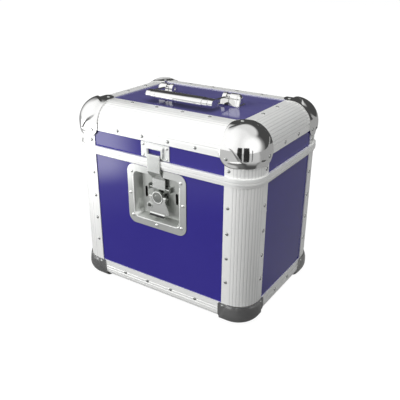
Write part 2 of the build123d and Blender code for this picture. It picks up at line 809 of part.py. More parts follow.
def latch_wing():
    """The folding butterfly wing, with a collared eye and a finger lip at its foot."""
    z0 = latch_height
    ear = rotor_radius + wing_cut_slack / 2
    out = ear + wing_knuckle_width
    foot = z0 - wing_length
    right = [(out, z0), (wing_half_waist, z0 - 6), (wing_half_foot, foot + 5), (wing_half_foot, foot)]
    outline = make_face(Polyline(*right, *[(-x, z) for x, z in reversed(right)], close=True))
    shape = plate(outline, "y", wing_back, wing_front)
    corners = [e for e in shape.edges().filter_by(Axis.Y) if abs(e.center().Z - foot) < 0.01]
    shape = fillet(corners, wing_corner)
    lip = [
        (wing_front, foot + 1),
        (wing_front, foot),
        (wing_front - wing_lip_lean, foot - wing_lip_length),
    ]
    shape += plate(bent_strip(lip, wing_sheet), "x", -wing_lip_half, wing_lip_half)
    for sign in (-1, 1):
        shape += rod(wing_knuckle_radius, (sign * ear, wing_pin_y, z0), (sign * out, wing_pin_y, z0))
    clear = rotor_radius + wing_cut_slack
    shape -= rod(clear, (0, wing_back + 1, z0), (0, wing_front - 1, z0))
    shape -= block(-ear, ear, wing_back + 3, wing_front - 1, z0 - 2, z0 + wing_knuckle_radius + 1)
    shape -= rod(wing_pin_radius + fit, (-out - 1, wing_pin_y, z0), (out + 1, wing_pin_y, z0))
    eye = (-wing_eye_x, wing_front, z0 - wing_eye_drop)
    collar = wing_eye_radius + wing_eye_collar
    shape += rod(collar, eye, (eye[0], wing_front - wing_eye_proud, eye[2]))
    return shape - rod(wing_eye_radius, (eye[0], wing_back + 1, eye[2]), (eye[0], wing_front - 3, eye[2]))


# ---------------------------------------------------------------- catch
def catch_plate():
    """The plate on the lid with a bridge pressed out of it. The hook's lip enters its window."""
    half = catch_width / 2
    shape = block(-half, half, catch_front, front_y, catch_z, catch_high)
    low_bend, high_bend = bridge_z + bridge_bend, bridge_high - bridge_bend
    line = [
        (front_y, bridge_z - catch_sheet),
        (bridge_front, low_bend),
        (bridge_front, high_bend),
        (front_y, bridge_high + catch_sheet),
    ]
    wide = bridge_width / 2
    bridge = plate(bent_strip(line, -catch_sheet), "x", -wide, wide)
    window = window_width / 2
    under = block(-window, window, catch_front - fit, front_y + 1, low_bend, high_bend)
    reach = 2 * catch_sheet
    bridge = bridge & block(-wide, wide, bridge_front - 1, front_y, bridge_z - reach, bridge_high + reach)
    shape = shape - under + bridge
    shape -= block(-window, window, bridge_front - 1, catch_front - fit, window_z, window_high)
    return drill(shape, catch_places)


# ---------------------------------------------------------------- handle
def handle_screw_spots():
    """Two screws in the foot of each bracket."""
    spots = []
    for sx in (-1, 1):
        for sy in (-1, 1):
            y = sy * (bracket_depth / 2 - handle_screw_inset)
            spots.append((sx * (bracket_inner + handle_screw_inset), y))
    return spots


def handle_screw(x, y):
    """A pan-head screw from the bracket foot down into the top board."""
    top = panel_top + bracket_base
    shape = rod(handle_screw_radius, (x, y, panel_top - panel), (x, y, top))
    return shape + rod(handle_screw_head, (x, y, top), (x, y, top + handle_screw_head_height))


def handle_bracket(sx):
    """A cast bracket with two cheeks that hold the handle's pivot pin."""
    half = bracket_depth / 2
    shape = block(sx * bracket_inner, sx * bracket_outer, -half, half, panel_top, panel_top + bracket_base)
    profile = make_face(
        Polyline((-half, panel_top), (half, panel_top), (half, panel_top + bracket_base),
                 (cheek_radius, pivot_z), (-cheek_radius, pivot_z),
                 (-half, panel_top + bracket_base), close=True)
    )
    profile += Pos(0, pivot_z) * Circle(cheek_radius)
    gap = arm_width / 2 + arm_slack
    start, stop = sorted((sx * cheek_inner, sx * cheek_outer))
    cheek = plate(profile, "x", start, stop)
    end = sx * cheek_outer
    outer_edges = [e for e in cheek.edges() if abs(e.center().X - end) < 0.01]
    cheek = fillet([e for e in outer_edges if e.center().Z > panel_top + 3], cheek_round)
    slot = block(sx * (arm_centre - gap), sx * (arm_centre + gap), -half - 1, half + 1,
                 panel_top + bracket_base, pivot_z + 2 * cheek_radius)
    shape += cheek - slot
    pin_end = sx * handle_pin_outer
    shape -= rod(handle_pin_radius + fit, (sx * cheek_inner - sx, 0, pivot_z), (pin_end, 0, pivot_z))
    bore = handle_screw_radius + fit
    above = panel_top + 2 * bracket_base
    for x, y in handle_screw_spots():
        if x * sx > 0:
            shape -= rod(bore, (x, y, panel_top - 1), (x, y, above))
    return shape


def handle_pin(sx):
    return rod(handle_pin_radius, (sx * handle_pin_inner, 0, pivot_z), (sx * handle_pin_outer, 0, pivot_z))


def handle_frame():
    """The steel bail: two arms with eyes and collars, joined by a round core."""
    shape = None
    for sx in (-1, 1):
        left = min(sx * (arm_centre - arm_width / 2), sx * (arm_centre + arm_width / 2))
        eye = Pos(0, pivot_z) * Circle(arm_eye_radius)
        arm = make_face(
            Polyline((0, pivot_z - arm_height / 2), (0, pivot_z + arm_height / 2),
                     (grip_y, grip_z + arm_height / 2), (grip_y, grip_z - arm_height / 2), close=True)
        )
        bar = plate(eye + arm, "x", left, left + arm_width)
        inner = sx * (grip_half_length + fit)
        outer = sx * (grip_half_length + collar_width)
        collar = block(inner, outer, grip_y - collar_depth / 2, grip_y + collar_depth / 2,
                       grip_z - collar_height / 2, grip_z + collar_height / 2)
        collar = fillet(collar.edges().filter_by(Axis.X), collar_height / 2.2)
        bar += collar
        bar -= rod(handle_pin_radius + fit, (left - 1, 0, pivot_z), (left + arm_width + 1, 0, pivot_z))
        shape = bar if shape is None else shape + bar
    reach = grip_half_length + collar_width / 2
    return shape + rod(grip_core_radius, (-reach, grip_y, grip_z), (reach, grip_y, grip_z))


def handle_grip():
    """The plated hand grip on the core."""
    place = Plane(origin=(-grip_half_length, grip_y, grip_z), x_dir=(0, 1, 0), z_dir=(1, 0, 0))
    section = RectangleRounded(grip_section_depth, grip_section_height, grip_corner)
    shape = extrude(place * section, amount=2 * grip_half_length)
    reach = grip_half_length + 1
    return shape - rod(grip_core_radius + fit, (-reach, grip_y, grip_z), (reach, grip_y, grip_z))


# ---------------------------------------------------------------- all the nodes
nodes = {"bottom_panel": bottom_panel(), "top_panel": top_panel()}
for face in (*ENDS, *SIDES):
    nodes[f"{face}_panel"] = upright_panel(face, floor_top, body_panel_top, body_inside, body_places)
    lid_panel_top = case_height - edge_radius + panel_grip
    nodes[f"lid_{face}_panel"] = upright_panel(face, lid_web_top, lid_panel_top, lid_inside, lid_places)
nodes["front_panel"] = nodes["front_panel"] - dish_opening()

for end, sy in ENDS.items():
    for side, sx in SIDES.items():
        nodes[f"post_{end}_{side}"] = post(sx, sy, base_edge_top, post_top, body_places)
        nodes[f"lid_post_{end}_{side}"] = post(sx, sy, lid_post_low, lid_post_top, lid_places)
        nodes[f"ball_corner_{end}_{side}"] = ball_corner(sx, sy)
        nodes[f"base_corner_{end}_{side}"] = base_corner(sx, sy)
    top = (case_height, -1, edge_radius, top_edge_reach, top_edge_drop, lid_places)
    base = (base_lift, 1, base_radius, base_edge_reach, base_edge_rise, body_places)
    nodes[f"top_edge_{end}"] = long_edge(sy, *top)
    nodes[f"base_edge_{end}"] = long_edge(sy, *base)
for side, sx in SIDES.items():
    nodes[f"top_edge_{side}"] = short_edge(sx, *top)
    nodes[f"base_edge_{side}"] = short_edge(sx, *base)
    nodes[f"handle_bracket_{side}"] = handle_bracket(sx)

nodes["body_rim"] = body_rim()
nodes["lid_rim"] = lid_rim()
nodes["latch_dish"] = latch_dish()
nodes["latch_stud"] = latch_stud()
nodes["latch_rotor"] = latch_rotor()
nodes["latch_cap"] = latch_cap()
nodes["wing_pin"] = wing_pin()
nodes["latch_slider"] = latch_slider()
nodes["hook_pin"] = hook_pin()
nodes["latch_hook"] = latch_hook()
nodes["latch_wing"] = latch_wing()
nodes["catch_plate"] = catch_plate()
nodes["handle_frame"] = handle_frame()
nodes["handle_grip"] = handle_grip()

# Small pieces that repeat share a node as separate solids
nodes["hinge_leaves_body"] = Compound([hinge_leaf(x, False) for x in hinge_centres])
nodes["hinge_leaves_lid"] = Compound([hinge_leaf(x, True) for x in hinge_centres])
nodes["hinge_pins"] = Compound([hinge_pin(x) for x in hinge_centres])
nodes["handle_pins"] = Compound([handle_pin(sx) for sx in (-1, 1)])
nodes["handle_screws"] = Compound([handle_screw(x, y) for x, y in handle_screw_spots()])

dish_grip = dish_sheet + panel
catch_grip = catch_sheet + panel
leaf_grip = hinge_sheet + panel
body_rivets = [rivet(p) for p in post_rows + base_rows]
body_rivets += [rivet(p, through_panel + cap_proud) for p in base_cap_places]
body_rivets += [rivet(p, dish_grip) for p in dish_places]
body_rivets += [rivet(p, leaf_grip) for p in body_leaf_places]
lid_rivets = [rivet(p) for p in lid_post_rows + lid_rows]
lid_rivets += [rivet(p, through_panel + cap_proud) for p in ball_places]
lid_rivets += [rivet(p, catch_grip) for p in catch_places]
lid_rivets += [rivet(p, leaf_grip) for p in lid_leaf_places]
nodes["body_rivets"] = Compound(body_rivets)
nodes["lid_rivets"] = Compound(lid_rivets)

for name, shape in nodes.items():
    export_step(shape, f"parts/{name}.step")
print(len(nodes), "nodes written")
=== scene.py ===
import math
import bmesh
import bpy
import numpy as np
from mathutils import Matrix, Vector


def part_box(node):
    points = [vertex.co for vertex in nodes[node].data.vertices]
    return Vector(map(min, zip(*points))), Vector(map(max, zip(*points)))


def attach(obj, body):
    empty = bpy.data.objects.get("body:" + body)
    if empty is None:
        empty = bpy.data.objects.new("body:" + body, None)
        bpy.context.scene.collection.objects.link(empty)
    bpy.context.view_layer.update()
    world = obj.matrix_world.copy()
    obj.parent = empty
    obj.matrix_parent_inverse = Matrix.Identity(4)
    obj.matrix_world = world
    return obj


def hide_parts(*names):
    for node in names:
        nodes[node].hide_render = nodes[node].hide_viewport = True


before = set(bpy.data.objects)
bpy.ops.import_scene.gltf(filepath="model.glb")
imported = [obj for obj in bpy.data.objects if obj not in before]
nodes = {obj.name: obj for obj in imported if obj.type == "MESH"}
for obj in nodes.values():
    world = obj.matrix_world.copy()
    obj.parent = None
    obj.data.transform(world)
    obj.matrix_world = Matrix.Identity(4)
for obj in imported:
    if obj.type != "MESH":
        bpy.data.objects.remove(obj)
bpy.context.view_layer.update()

scene = bpy.context.scene
mm = 0.001


# node trees
class Wire:
    # one output socket; arithmetic on it adds Math nodes
    def __init__(self, tree, made, output=0):
        self.tree = tree
        self.made = made
        self.socket = made.outputs[output]

    def out(self, output):
        return Wire(self.tree, self.made, output)

    def math(self, operation, *values):
        sockets = dict(enumerate([self, *values]))
        return self.tree.node("ShaderNodeMath", {"operation": operation}, sockets)

    def turned(self, operation, value):
        return self.tree.node("ShaderNodeMath", {"operation": operation}, {0: value, 1: self})

    def __add__(self, other):
        return self.math("ADD", other)

    def __radd__(self, other):
        return self.turned("ADD", other)

    def __sub__(self, other):
        return self.math("SUBTRACT", other)

    def __rsub__(self, other):
        return self.turned("SUBTRACT", other)

    def __mul__(self, other):
        return self.math("MULTIPLY", other)

    def __rmul__(self, other):
        return self.turned("MULTIPLY", other)

    def __truediv__(self, other):
        return self.math("DIVIDE", other)

    def __pow__(self, other):
        return self.math("POWER", other)

    def above(self, edge, softness):
        # 0 below the edge, 1 above it, with a soft step
        ranged = {"interpolation_type": "SMOOTHSTEP"}
        ends = {"Value": self, "From Min": edge - softness, "From Max": edge + softness}
        return self.tree.node("ShaderNodeMapRange", ranged, ends)


class NodeMaker:
    # adds nodes to one tree: type, settings first, then socket values or links
    def __init__(self, tree):
        self.tree = tree
        tree.nodes.clear()

    def node(self, kind, settings=None, sockets=None, output=0):
        made = self.tree.nodes.new(kind)
        for name, value in (settings or {}).items():
            setattr(made, name, value)
        for key, value in (sockets or {}).items():
            if isinstance(value, Wire):
                self.tree.links.new(value.socket, made.inputs[key])
            else:
                made.inputs[key].default_value = value
        return Wire(self, made, output) if made.outputs else None

    def mixColour(self, factor, first, second):
        # the Mix node's colour sockets are 0, 6 and 7, its colour output is 2
        ends = {0: factor, 6: colour(first), 7: colour(second)}
        return self.node("ShaderNodeMix", {"data_type": "RGBA"}, ends, output=2)

    def vector(self, operation, *values):
        # a vector, or a length, distance or dot product as a number
        kept = "Value" if operation in ("LENGTH", "DISTANCE", "DOT_PRODUCT") else "Vector"
        return self.node("ShaderNodeVectorMath", {"operation": operation}, dict(enumerate(values)), kept)

    def along(self, where, axis):
        return self.node("ShaderNodeSeparateXYZ", None, {"Vector": where}).out(axis)

    def place(self, scale=(1, 1, 1)):
        # the piece's own coordinates in metres, stretched by the scale
        return self.vector("MULTIPLY", self.node("ShaderNodeTexCoord").out("Object"), scale)

    def noise(self, where, scale, detail, roughness=0.5):
        sockets = {"Vector": where, "Scale": scale, "Detail": detail, "Roughness": roughness}
        return self.node("ShaderNodeTexNoise", None, sockets)

    def bump(self, height, distance, strength):
        sockets = {"Height": height, "Distance": distance, "Strength": strength}
        return self.node("ShaderNodeBump", None, sockets)

    def paintedOutput(self, shape, material):
        real = self.node("GeometryNodeRealizeInstances", None, {"Geometry": shape})
        painted = self.node("GeometryNodeSetMaterial", None, {"Geometry": real, "Material": material})
        self.node("NodeGroupOutput", None, {"Geometry": painted})

    def rays(self):
        # what the camera sees, what polished metal mirrors, and all other rays
        path = self.node("ShaderNodeLightPath")
        seen = path.out("Is Camera Ray") + path.out("Is Transmission Ray")
        mirrored = path.out("Is Glossy Ray")
        return seen, mirrored, 1 - (seen + mirrored).math("MINIMUM", 1.0)


def colour(value):
    return value if isinstance(value, Wire) else (*value, 1)


def newMaterial(name):
    material = bpy.data.materials.new(name)
    material.use_nodes = True
    return material, NodeMaker(material.node_tree)


def endMaterial(maker, sockets):
    surface = maker.node("ShaderNodeBsdfPrincipled", None, sockets)
    maker.node("ShaderNodeOutputMaterial", None, {"Surface": surface})


def plainMesh(name, points, faces):
    mesh = bpy.data.meshes.new(name)
    mesh.from_pydata([tuple(point) for point in points], [], faces)
    return mesh


def looseObject(name, data):
    thing = bpy.data.objects.new(name, data)
    scene.collection.objects.link(thing)
    return thing


# camera
view = {
    "azimuth": 32.872, "elevation": 24.267, "roll": 0.388,
    "distance": 1.0302, "target": (0.0036, 0.0, 0.1449), "lens": 49.71, "sensor": 36.0,
}


def makeCamera():
    azimuth, elevation = math.radians(view["azimuth"]), math.radians(view["elevation"])
    roll = math.radians(view["roll"])
    across = math.cos(elevation)
    back = Vector((math.sin(azimuth) * across, -math.cos(azimuth) * across, math.sin(elevation)))
    right = Vector((0, 0, 1)).cross(back).normalized()
    up = back.cross(right)
    turnedRight = math.cos(roll) * right + math.sin(roll) * up
    turnedUp = math.cos(roll) * up - math.sin(roll) * right
    lens = bpy.data.cameras.new("camera")
    lens.lens = view["lens"]
    lens.sensor_width = view["sensor"]
    camera = looseObject("camera", lens)
    turn = Matrix((turnedRight, turnedUp, back)).transposed().to_4x4()
    camera.matrix_world = Matrix.Translation(Vector(view["target"]) + back * view["distance"]) @ turn
    scene.camera = camera


# studio: an edge is a place in metres and its softness
studio = {
    "fill": 0.2,                # what the room adds to matt surfaces
    "wall": 0.07,               # what polished metal mirrors: dark walls
    "floorHalf": 6.0,
    "floorGlow": 0.93,
    "glowEdge": (0.5, 0.2),     # further out the paper is plain white
    "floorShade": 0.14,         # grey of the paper to the camera, and to all other rays
    "floorMatt": 0.3,
    # the paper as polished metal mirrors it, with a painted shadow of the case: near the case, on its right,
    # further out and behind it
    "mirroredNear": 0.21,
    "mirroredRight": 0.08,
    "mirroredFar": 0.62,
    "mirroredBehind": 0.37,
    "rightEdge": (0.16, 0.14),
    "farEdge": (0.54, 0.14),
    "behindEdge": (-0.02, 0.12),
    "shadowMiddle": (0.12, -0.08, 0.0),
}
# parts of the mirrored room: heading, cosine of the half angle, softness, level
roomParts = [
    ((0.0, 0.0, 1.0), 0.74, 0.08, 0.8),         # ceiling
    ((-0.2, -0.9, 0.4), 0.34, 0.14, 0.95),      # the lit front of the room
    ((1.0, -0.3, 0.25), 0.7, 0.15, 0.4),        # its right side, and a window there
    ((0.85, -0.42, 0.42), 0.78, 0.14, 1.2),
    ((-0.8, -0.5, 0.35), 0.66, 0.25, 1.2),      # the lit screen on the left
]


def paintRoom(maker):
    heading = maker.node("ShaderNodeTexCoord").out("Generated")
    level = studio["wall"]
    for aim, edge, softness, reached in roomParts:
        length = math.sqrt(sum(part * part for part in aim))
        unit = tuple(part / length for part in aim)
        inside = maker.vector("DOT_PRODUCT", heading, unit).above(edge, softness)
        level = level * (1 - inside) + inside * reached
    return level


def makeWorld():
    world = bpy.data.worlds.new("studio")
    world.use_nodes = True
    maker = NodeMaker(world.node_tree)
    seen, mirrored, rest = maker.rays()
    level = seen + mirrored * paintRoom(maker) + rest * studio["fill"]
    sky = maker.node("ShaderNodeBackground", None, {"Color": (1, 1, 1, 1), "Strength": level})
    maker.node("ShaderNodeOutputWorld", None, {"Surface": sky})
    scene.world = world


def makeFloor():
    half = studio["floorHalf"]
    corners = [(-half, -half, 0), (half, -half, 0), (half, half, 0), (-half, half, 0)]
    mesh = plainMesh("floor", corners, [(0, 1, 2, 3)])
    material, maker = newMaterial("floorPaper")
    seen, mirrored, rest = maker.rays()
    where = maker.place()
    glow = studio["floorGlow"]
    bright = glow + (1 - glow) * maker.vector("LENGTH", where).above(*studio["glowEdge"])
    # painted shadow: the mirrored paper is dark near the case, darkest on its right, brighter further out
    # and behind it
    near = studio["mirroredNear"]
    near = near + maker.along(where, "X").above(*studio["rightEdge"]) * (studio["mirroredRight"] - near)
    far = maker.vector("DISTANCE", where, studio["shadowMiddle"]).above(*studio["farEdge"])
    lit = near + far * (studio["mirroredFar"] - near)
    behind = maker.along(where, "Y").above(*studio["behindEdge"])
    lit = lit * (1 - behind) + behind * studio["mirroredBehind"]
    light = maker.node("ShaderNodeEmission", None, {"Strength": seen * bright + mirrored * lit})
    shade = seen * studio["floorShade"] + rest * studio["floorMatt"]
    grey = maker.node("ShaderNodeCombineColor", None, {0: shade, 1: shade, 2: shade})
    matt = maker.node("ShaderNodeBsdfDiffuse", None, {"Color": grey})
    shown = maker.node("ShaderNodeAddShader", None, {0: light, 1: matt})
    maker.node("ShaderNodeOutputMaterial", None, {"Surface": shown})
    mesh.materials.append(material)
    looseObject("floor", mesh)


# upright cards that only polished surfaces mirror: a soft white one at the front left,
# and dark stands beside the camera
cards = [
    # name, place of the foot, heading, half width, height, level, soft borders
    ("whiteCard", (-0.45, -0.42), (0.69, 0.73), 0.44, 0.32, 5.3, True),
    ("standLeft", (0.26, -0.66), (-0.3, 0.95), 0.1, 0.5, 0.03, False),
    ("standMiddle", (0.54, -0.58), (-0.5, 0.85), 0.13, 0.52, 0.03, False),
    ("standRight", (0.72, -0.40), (-0.7, 0.7), 0.02, 0.4, 0.05, False),
]
# the soft card's borders as place and softness: in metres, but the right one in shares of the half width
borders = {"left": (-0.1, 0.05), "right": (0.7, 0.25), "foot": (0.035, 0.035), "underTop": (0.09, 0.08)}


def softBorders(maker, middle, unit, half, height):
    where = maker.place()
    side = maker.vector("DOT_PRODUCT", where, tuple(unit)) - middle.dot(unit)
    rise = maker.along(where, "Z")
    right = side.above(*(half * share for share in borders["right"]))
    gap, softness = borders["underTop"]
    top = rise.above(height - gap, softness)
    return side.above(*borders["left"]) * (1 - right) * rise.above(*borders["foot"]) * (1 - top)


def makeCards():
    for name, spot, heading, half, height, level, soft in cards:
        middle, facing = Vector((*spot, 0)), Vector((*heading, 0)).normalized()
        unit = Vector((-facing.y, facing.x, 0))
        low = [middle - unit * half, middle + unit * half]
        high = [point + Vector((0, 0, height)) for point in reversed(low)]
        mesh = plainMesh(name, low + high, [(0, 1, 2, 3)])
        material, maker = newMaterial(name + "Paint")
        mask = maker.node("ShaderNodeLightPath").out("Is Glossy Ray")
        if soft:
            mask = mask * softBorders(maker, middle, unit, half, height)
        light = maker.node("ShaderNodeEmission", None, {"Strength": level})
        clear = maker.node("ShaderNodeBsdfTransparent")
        shown = maker.node("ShaderNodeMixShader", None, {0: mask, 1: clear, 2: light})
        maker.node("ShaderNodeOutputMaterial", None, {"Surface": shown})
        mesh.materials.append(material)
        looseObject(name, mesh)


lamps = [
    # name, place, size, power
    ("keyLamp", (-2.4, -3.75, 1.45), 3.6, 250),
    ("topLamp", (0.6, -0.3, 2.3), 1.6, 23),
    ("sideLamp", (1.25, -0.3, 1.5), 0.9, 7),
]
lampAim = Vector((0, 0, 0.16))


def makeLamps():
    for name, place, size, power in lamps:
        lamp = bpy.data.lights.new(name, "AREA")
        lamp.shape = "SQUARE"
        lamp.size = size
        lamp.energy = power
        thing = looseObject(name, lamp)
        turn = (lampAim - Vector(place)).to_track_quat("-Z", "Y").to_matrix().to_4x4()
        thing.matrix_world = Matrix.Translation(place) @ turn
        thing.visible_glossy = False


makeCamera()
makeWorld()
makeFloor()
makeCards()
makeLamps()
scene.view_settings.view_transform = "Standard"
print("camera, floor and lamps are set")


# materials: a pair of levels is the least and what a noise adds to it
laminateLook = {
    "skin": 3 * mm, "border": 0.2 * mm,
    "blue": ((0.026, 0.019, 0.205), (0.034, 0.026, 0.228)), "cloudScale": 9.0,
    "rough": (0.05, 0.07), "fineScale": 60.0, "specular": 0.45, "peelScale": 900.0, "peelHeight": 0.02 * mm,
    # dust and painted sheen on the level faces: its tone, then its least share and what a noise adds to it
    "dustSheenTone": (0.75, 0.75, 0.75), "dustSheenShare": (0.06, 0.07), "levelFaces": (0.9, 0.05),
    "ply": ((0.50, 0.34, 0.19), (0.68, 0.51, 0.33)), "plyRough": 0.55, "grain": (14, 14, 260),
}


def makeLaminate():
    # coloured laminate outside, bare birch ply on the faces that look into the case
    look = laminateLook
    material, maker = newMaterial("blueLaminate")
    where = maker.place()
    x, y, z = (maker.along(where, axis) for axis in "XYZ")
    skin, border = look["skin"], look["border"]
    outer = x.math("ABSOLUTE").above(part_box("right_panel")[1].x - skin, border)
    outer = outer.math("MAXIMUM", y.math("ABSOLUTE").above(-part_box("front_panel")[0].y - skin, border))
    outer = outer.math("MAXIMUM", z.above(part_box("top_panel")[1].z - skin, border))
    outer = outer.math("MAXIMUM", 1 - z.above(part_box("bottom_panel")[0].z + skin, border))
    cloud = maker.noise(where, look["cloudScale"], detail=3.0)
    fine = maker.noise(where, look["fineScale"], detail=4.0, roughness=0.6)
    rough = look["rough"][0] + fine * look["rough"][1]
    # the level faces are painted paler grey: partly dust lying on them, partly painted sheen of their
    # reflection
    facing = maker.node("ShaderNodeTexCoord").out("Normal")
    level = maker.along(facing, "Z").above(*look["levelFaces"])
    sheenAndDust = level * (look["dustSheenShare"][0] + fine * look["dustSheenShare"][1])
    blue = maker.mixColour(sheenAndDust, maker.mixColour(cloud, *look["blue"]), look["dustSheenTone"])
    grain = maker.noise(maker.place(look["grain"]), 1.0, detail=4.0, roughness=0.6)
    peel = maker.noise(where, look["peelScale"], detail=2.0)
    endMaterial(maker, {
        "Base Color": maker.mixColour(outer, maker.mixColour(grain, *look["ply"]), blue),
        "Roughness": rough * outer + (1 - outer) * look["plyRough"],
        "Specular IOR Level": look["specular"],
        "Normal": maker.bump(peel, look["peelHeight"], strength=0.5),
    })
    return material


aluminiumLook = {
    "tones": ((0.88, 0.89, 0.88), (0.93, 0.93, 0.91)), "cloudScale": 25.0, "metallic": 0.35,
    # groove and grooveShare: painted shade, the grooves between the ribs are painted darker by this tone and
    # share
    "groove": (0.30, 0.30, 0.30), "grooveShare": 0.3, "rough": (0.36, 0.12), "lineHeight": 0.03 * mm,
    "acrossLines": 2500, "alongLines": 12,
}


def makeAluminium(name, length):
    # fine drawn lines run along the profile's length
    look = aluminiumLook
    material, maker = newMaterial(name)
    stretch = [look["alongLines"] if axis == length else look["acrossLines"] for axis in "XYZ"]
    lines = maker.noise(maker.place(stretch), 1.0, detail=3.0, roughness=0.6)
    cloud = maker.noise(maker.place(), look["cloudScale"], detail=3.0)
    groove = maker.node("ShaderNodeAttribute", {"attribute_name": "groove"}).out("Fac")
    tint = maker.mixColour(cloud, *look["tones"])
    # painted shade: the grooves between the ribs are painted darker
    tint = maker.mixColour(groove * look["grooveShare"], tint, look["groove"])
    endMaterial(maker, {
        "Base Color": tint, "Metallic": look["metallic"],
        "Roughness": look["rough"][0] + lines * look["rough"][1],
        "Normal": maker.bump(lines, look["lineHeight"], strength=0.35),
    })
    return material


metals = {
    # dark tone, light tone, metallic, roughness, what clouds add to it, height of the waves
    "chromePlate": ((0.80, 0.80, 0.79), (0.88, 0.88, 0.87), 1.0, 0.05, 0.06, 0.2 * mm),
    "darkNickel": ((0.26, 0.26, 0.26), (0.40, 0.40, 0.40), 0.8, 0.16, 0.10, 0.2 * mm),
    "brightZinc": ((0.70, 0.72, 0.70), (0.84, 0.85, 0.83), 0.8, 0.16, 0.12, 0.1 * mm),
    "paleZinc": ((0.78, 0.80, 0.78), (0.88, 0.89, 0.87), 0.35, 0.20, 0.12, 0.1 * mm),
    "dishZinc": ((0.72, 0.74, 0.72), (0.84, 0.85, 0.83), 0.7, 0.14, 0.12, 0.2 * mm),
    "wingZinc": ((0.70, 0.72, 0.70), (0.84, 0.85, 0.83), 0.8, 0.16, 0.12, 0.1 * mm),
    "bossZinc": ((0.36, 0.38, 0.36), (0.48, 0.49, 0.47), 0.95, 0.08, 0.10, 0.2 * mm),
    "rivetSteel": ((0.40, 0.41, 0.40), (0.54, 0.55, 0.54), 0.85, 0.20, 0.12, 0.1 * mm),
}
metalScale = {"cloud": 30.0, "swell": 70.0}
# painted shade in the dish's tub: where it starts, its change, its share and its tone
tubPaintedShade = {"start": 4 * mm, "change": 7 * mm, "share": 0.65, "tone": (0.43, 0.45, 0.42)}
# painted shade on the wing's finger lip: its height above the wing's foot, its change and its tone
wingLipShade = {"height": 4 * mm, "change": 0.6 * mm, "tone": (0.035, 0.036, 0.038)}
# painted highlight on the rivets round the dish: its middle, its reach, its change and its tone
dishRivetHighlight = {"middle": (0, -0.13, 0.205), "reach": 88 * mm, "change": 2 * mm, "tone": (0.86, 0.87, 0.85)}


def paintTubShade(maker, where, tint):
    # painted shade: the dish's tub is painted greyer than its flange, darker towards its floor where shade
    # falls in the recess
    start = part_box("latch_dish")[0].y + tubPaintedShade["start"]
    deep = maker.along(where, "Y").above(start, tubPaintedShade["change"])
    return maker.mixColour(deep * tubPaintedShade["share"], tint, tubPaintedShade["tone"])


def paintLipShade(maker, where, tint):
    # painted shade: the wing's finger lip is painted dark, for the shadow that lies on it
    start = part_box("latch_wing")[0].z + wingLipShade["height"]
    above = maker.along(where, "Z").above(start, wingLipShade["change"])
    return maker.mixColour(1 - above, tint, wingLipShade["tone"])


def paintRivetHighlight(maker, where, tint):
    # painted highlight: the rivets round the dish are painted brighter than the others
    away = maker.vector("DISTANCE", where, dishRivetHighlight["middle"])
    far = away.above(dishRivetHighlight["reach"], dishRivetHighlight["change"])
    return maker.mixColour(far, dishRivetHighlight["tone"], tint)


def makeMetal(name, retint=None):
    dark, light, metallic, rough, spread, wave = metals[name]
    material, maker = newMaterial(name)
    where = maker.place()
    cloud = maker.noise(where, metalScale["cloud"], detail=4.0, roughness=0.6)
    tint = maker.mixColour(cloud, dark, light)
    if retint:
        tint = retint(maker, where, tint)
    swell = maker.noise(where, metalScale["swell"], detail=1.0)
    endMaterial(maker, {
        "Base Color": tint, "Metallic": metallic, "Roughness": rough + cloud * spread,
        "Normal": maker.bump(swell, wave, strength=0.5),
    })
    return material


laminate = makeLaminate()
aluminiumUp = makeAluminium("aluminiumUp", "Z")
aluminiumAcross = makeAluminium("aluminiumAcross", "X")
aluminiumDeep = makeAluminium("aluminiumDeep", "Y")
chrome = makeMetal("chromePlate")
nickel = makeMetal("darkNickel")
zinc = makeMetal("brightZinc")
paleZinc = makeMetal("paleZinc")
dishZinc = makeMetal("dishZinc", paintTubShade)
wingZinc = makeMetal("wingZinc", paintLipShade)
bossZinc = makeMetal("bossZinc")
rivetSteel = makeMetal("rivetSteel", paintRivetHighlight)


def materialFor(name):
    if name.endswith("panel"):
        return laminate
    if "post" in name or "rim" in name:
        return aluminiumUp
    if "edge" in name:
        return aluminiumAcross if name.endswith(("front", "back")) else aluminiumDeep
    if name.startswith("base_corner"):
        return nickel
    if name.startswith(("ball_corner", "handle")):
        return chrome
    if name in ("latch_rotor", "latch_cap", "latch_slider", "latch_stud"):
        return bossZinc
    if name == "latch_dish":
        return dishZinc
    if name == "latch_wing":
        return wingZinc
    return paleZinc if name == "catch_plate" else zinc


for name, node in nodes.items():
    node.data.materials.clear()
    node.data.materials.append(materialFor(name))
print("materials are set")


# mesh helpers
# points closer than this are one: in a mesh made here, and in a node's own
weldMade, weldNode = 0.001 * mm, 0.002 * mm
# an edge sharper than this many degrees stays sharp under smooth shading
creases = {"softened": 35, "edge": 50, "shell": 60, "rivet": 40, "grip": 40}
breaking = {"sharper": 28, "flatWithin": 0.6, "steps": 2, "profile": 0.5, "flatWeight": 100}


def finishPiece(name, mesh, material, body, stoodFor, smooth=True):
    mesh.name = name
    mesh.materials.clear()
    mesh.materials.append(material)
    if smooth:
        mesh.shade_smooth()
    thing = looseObject(name, mesh)
    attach(thing, body)
    if stoodFor:
        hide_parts(*stoodFor)
    return thing


def bakeModifiers(thing):
    # the evaluated result as a plain mesh; the helper object goes
    shown = thing.evaluated_get(bpy.context.evaluated_depsgraph_get())
    mesh = bpy.data.meshes.new_from_object(shown)
    old = thing.data
    bpy.data.objects.remove(thing)
    bpy.data.meshes.remove(old)
    return mesh


def outward(mesh):
    made = bmesh.new()
    made.from_mesh(mesh)
    bmesh.ops.remove_doubles(made, verts=made.verts, dist=weldMade)
    bmesh.ops.recalc_face_normals(made, faces=made.faces)
    made.to_mesh(mesh)
    made.free()


def markEdges(mesh, kind):
    limit = math.radians(creases[kind])
    made = bmesh.new()
    made.from_mesh(mesh)
    for edge in made.edges:
        if len(edge.link_faces) == 2:
            edge.smooth = edge.calc_face_angle(0) < limit
    made.to_mesh(mesh)
    made.free()


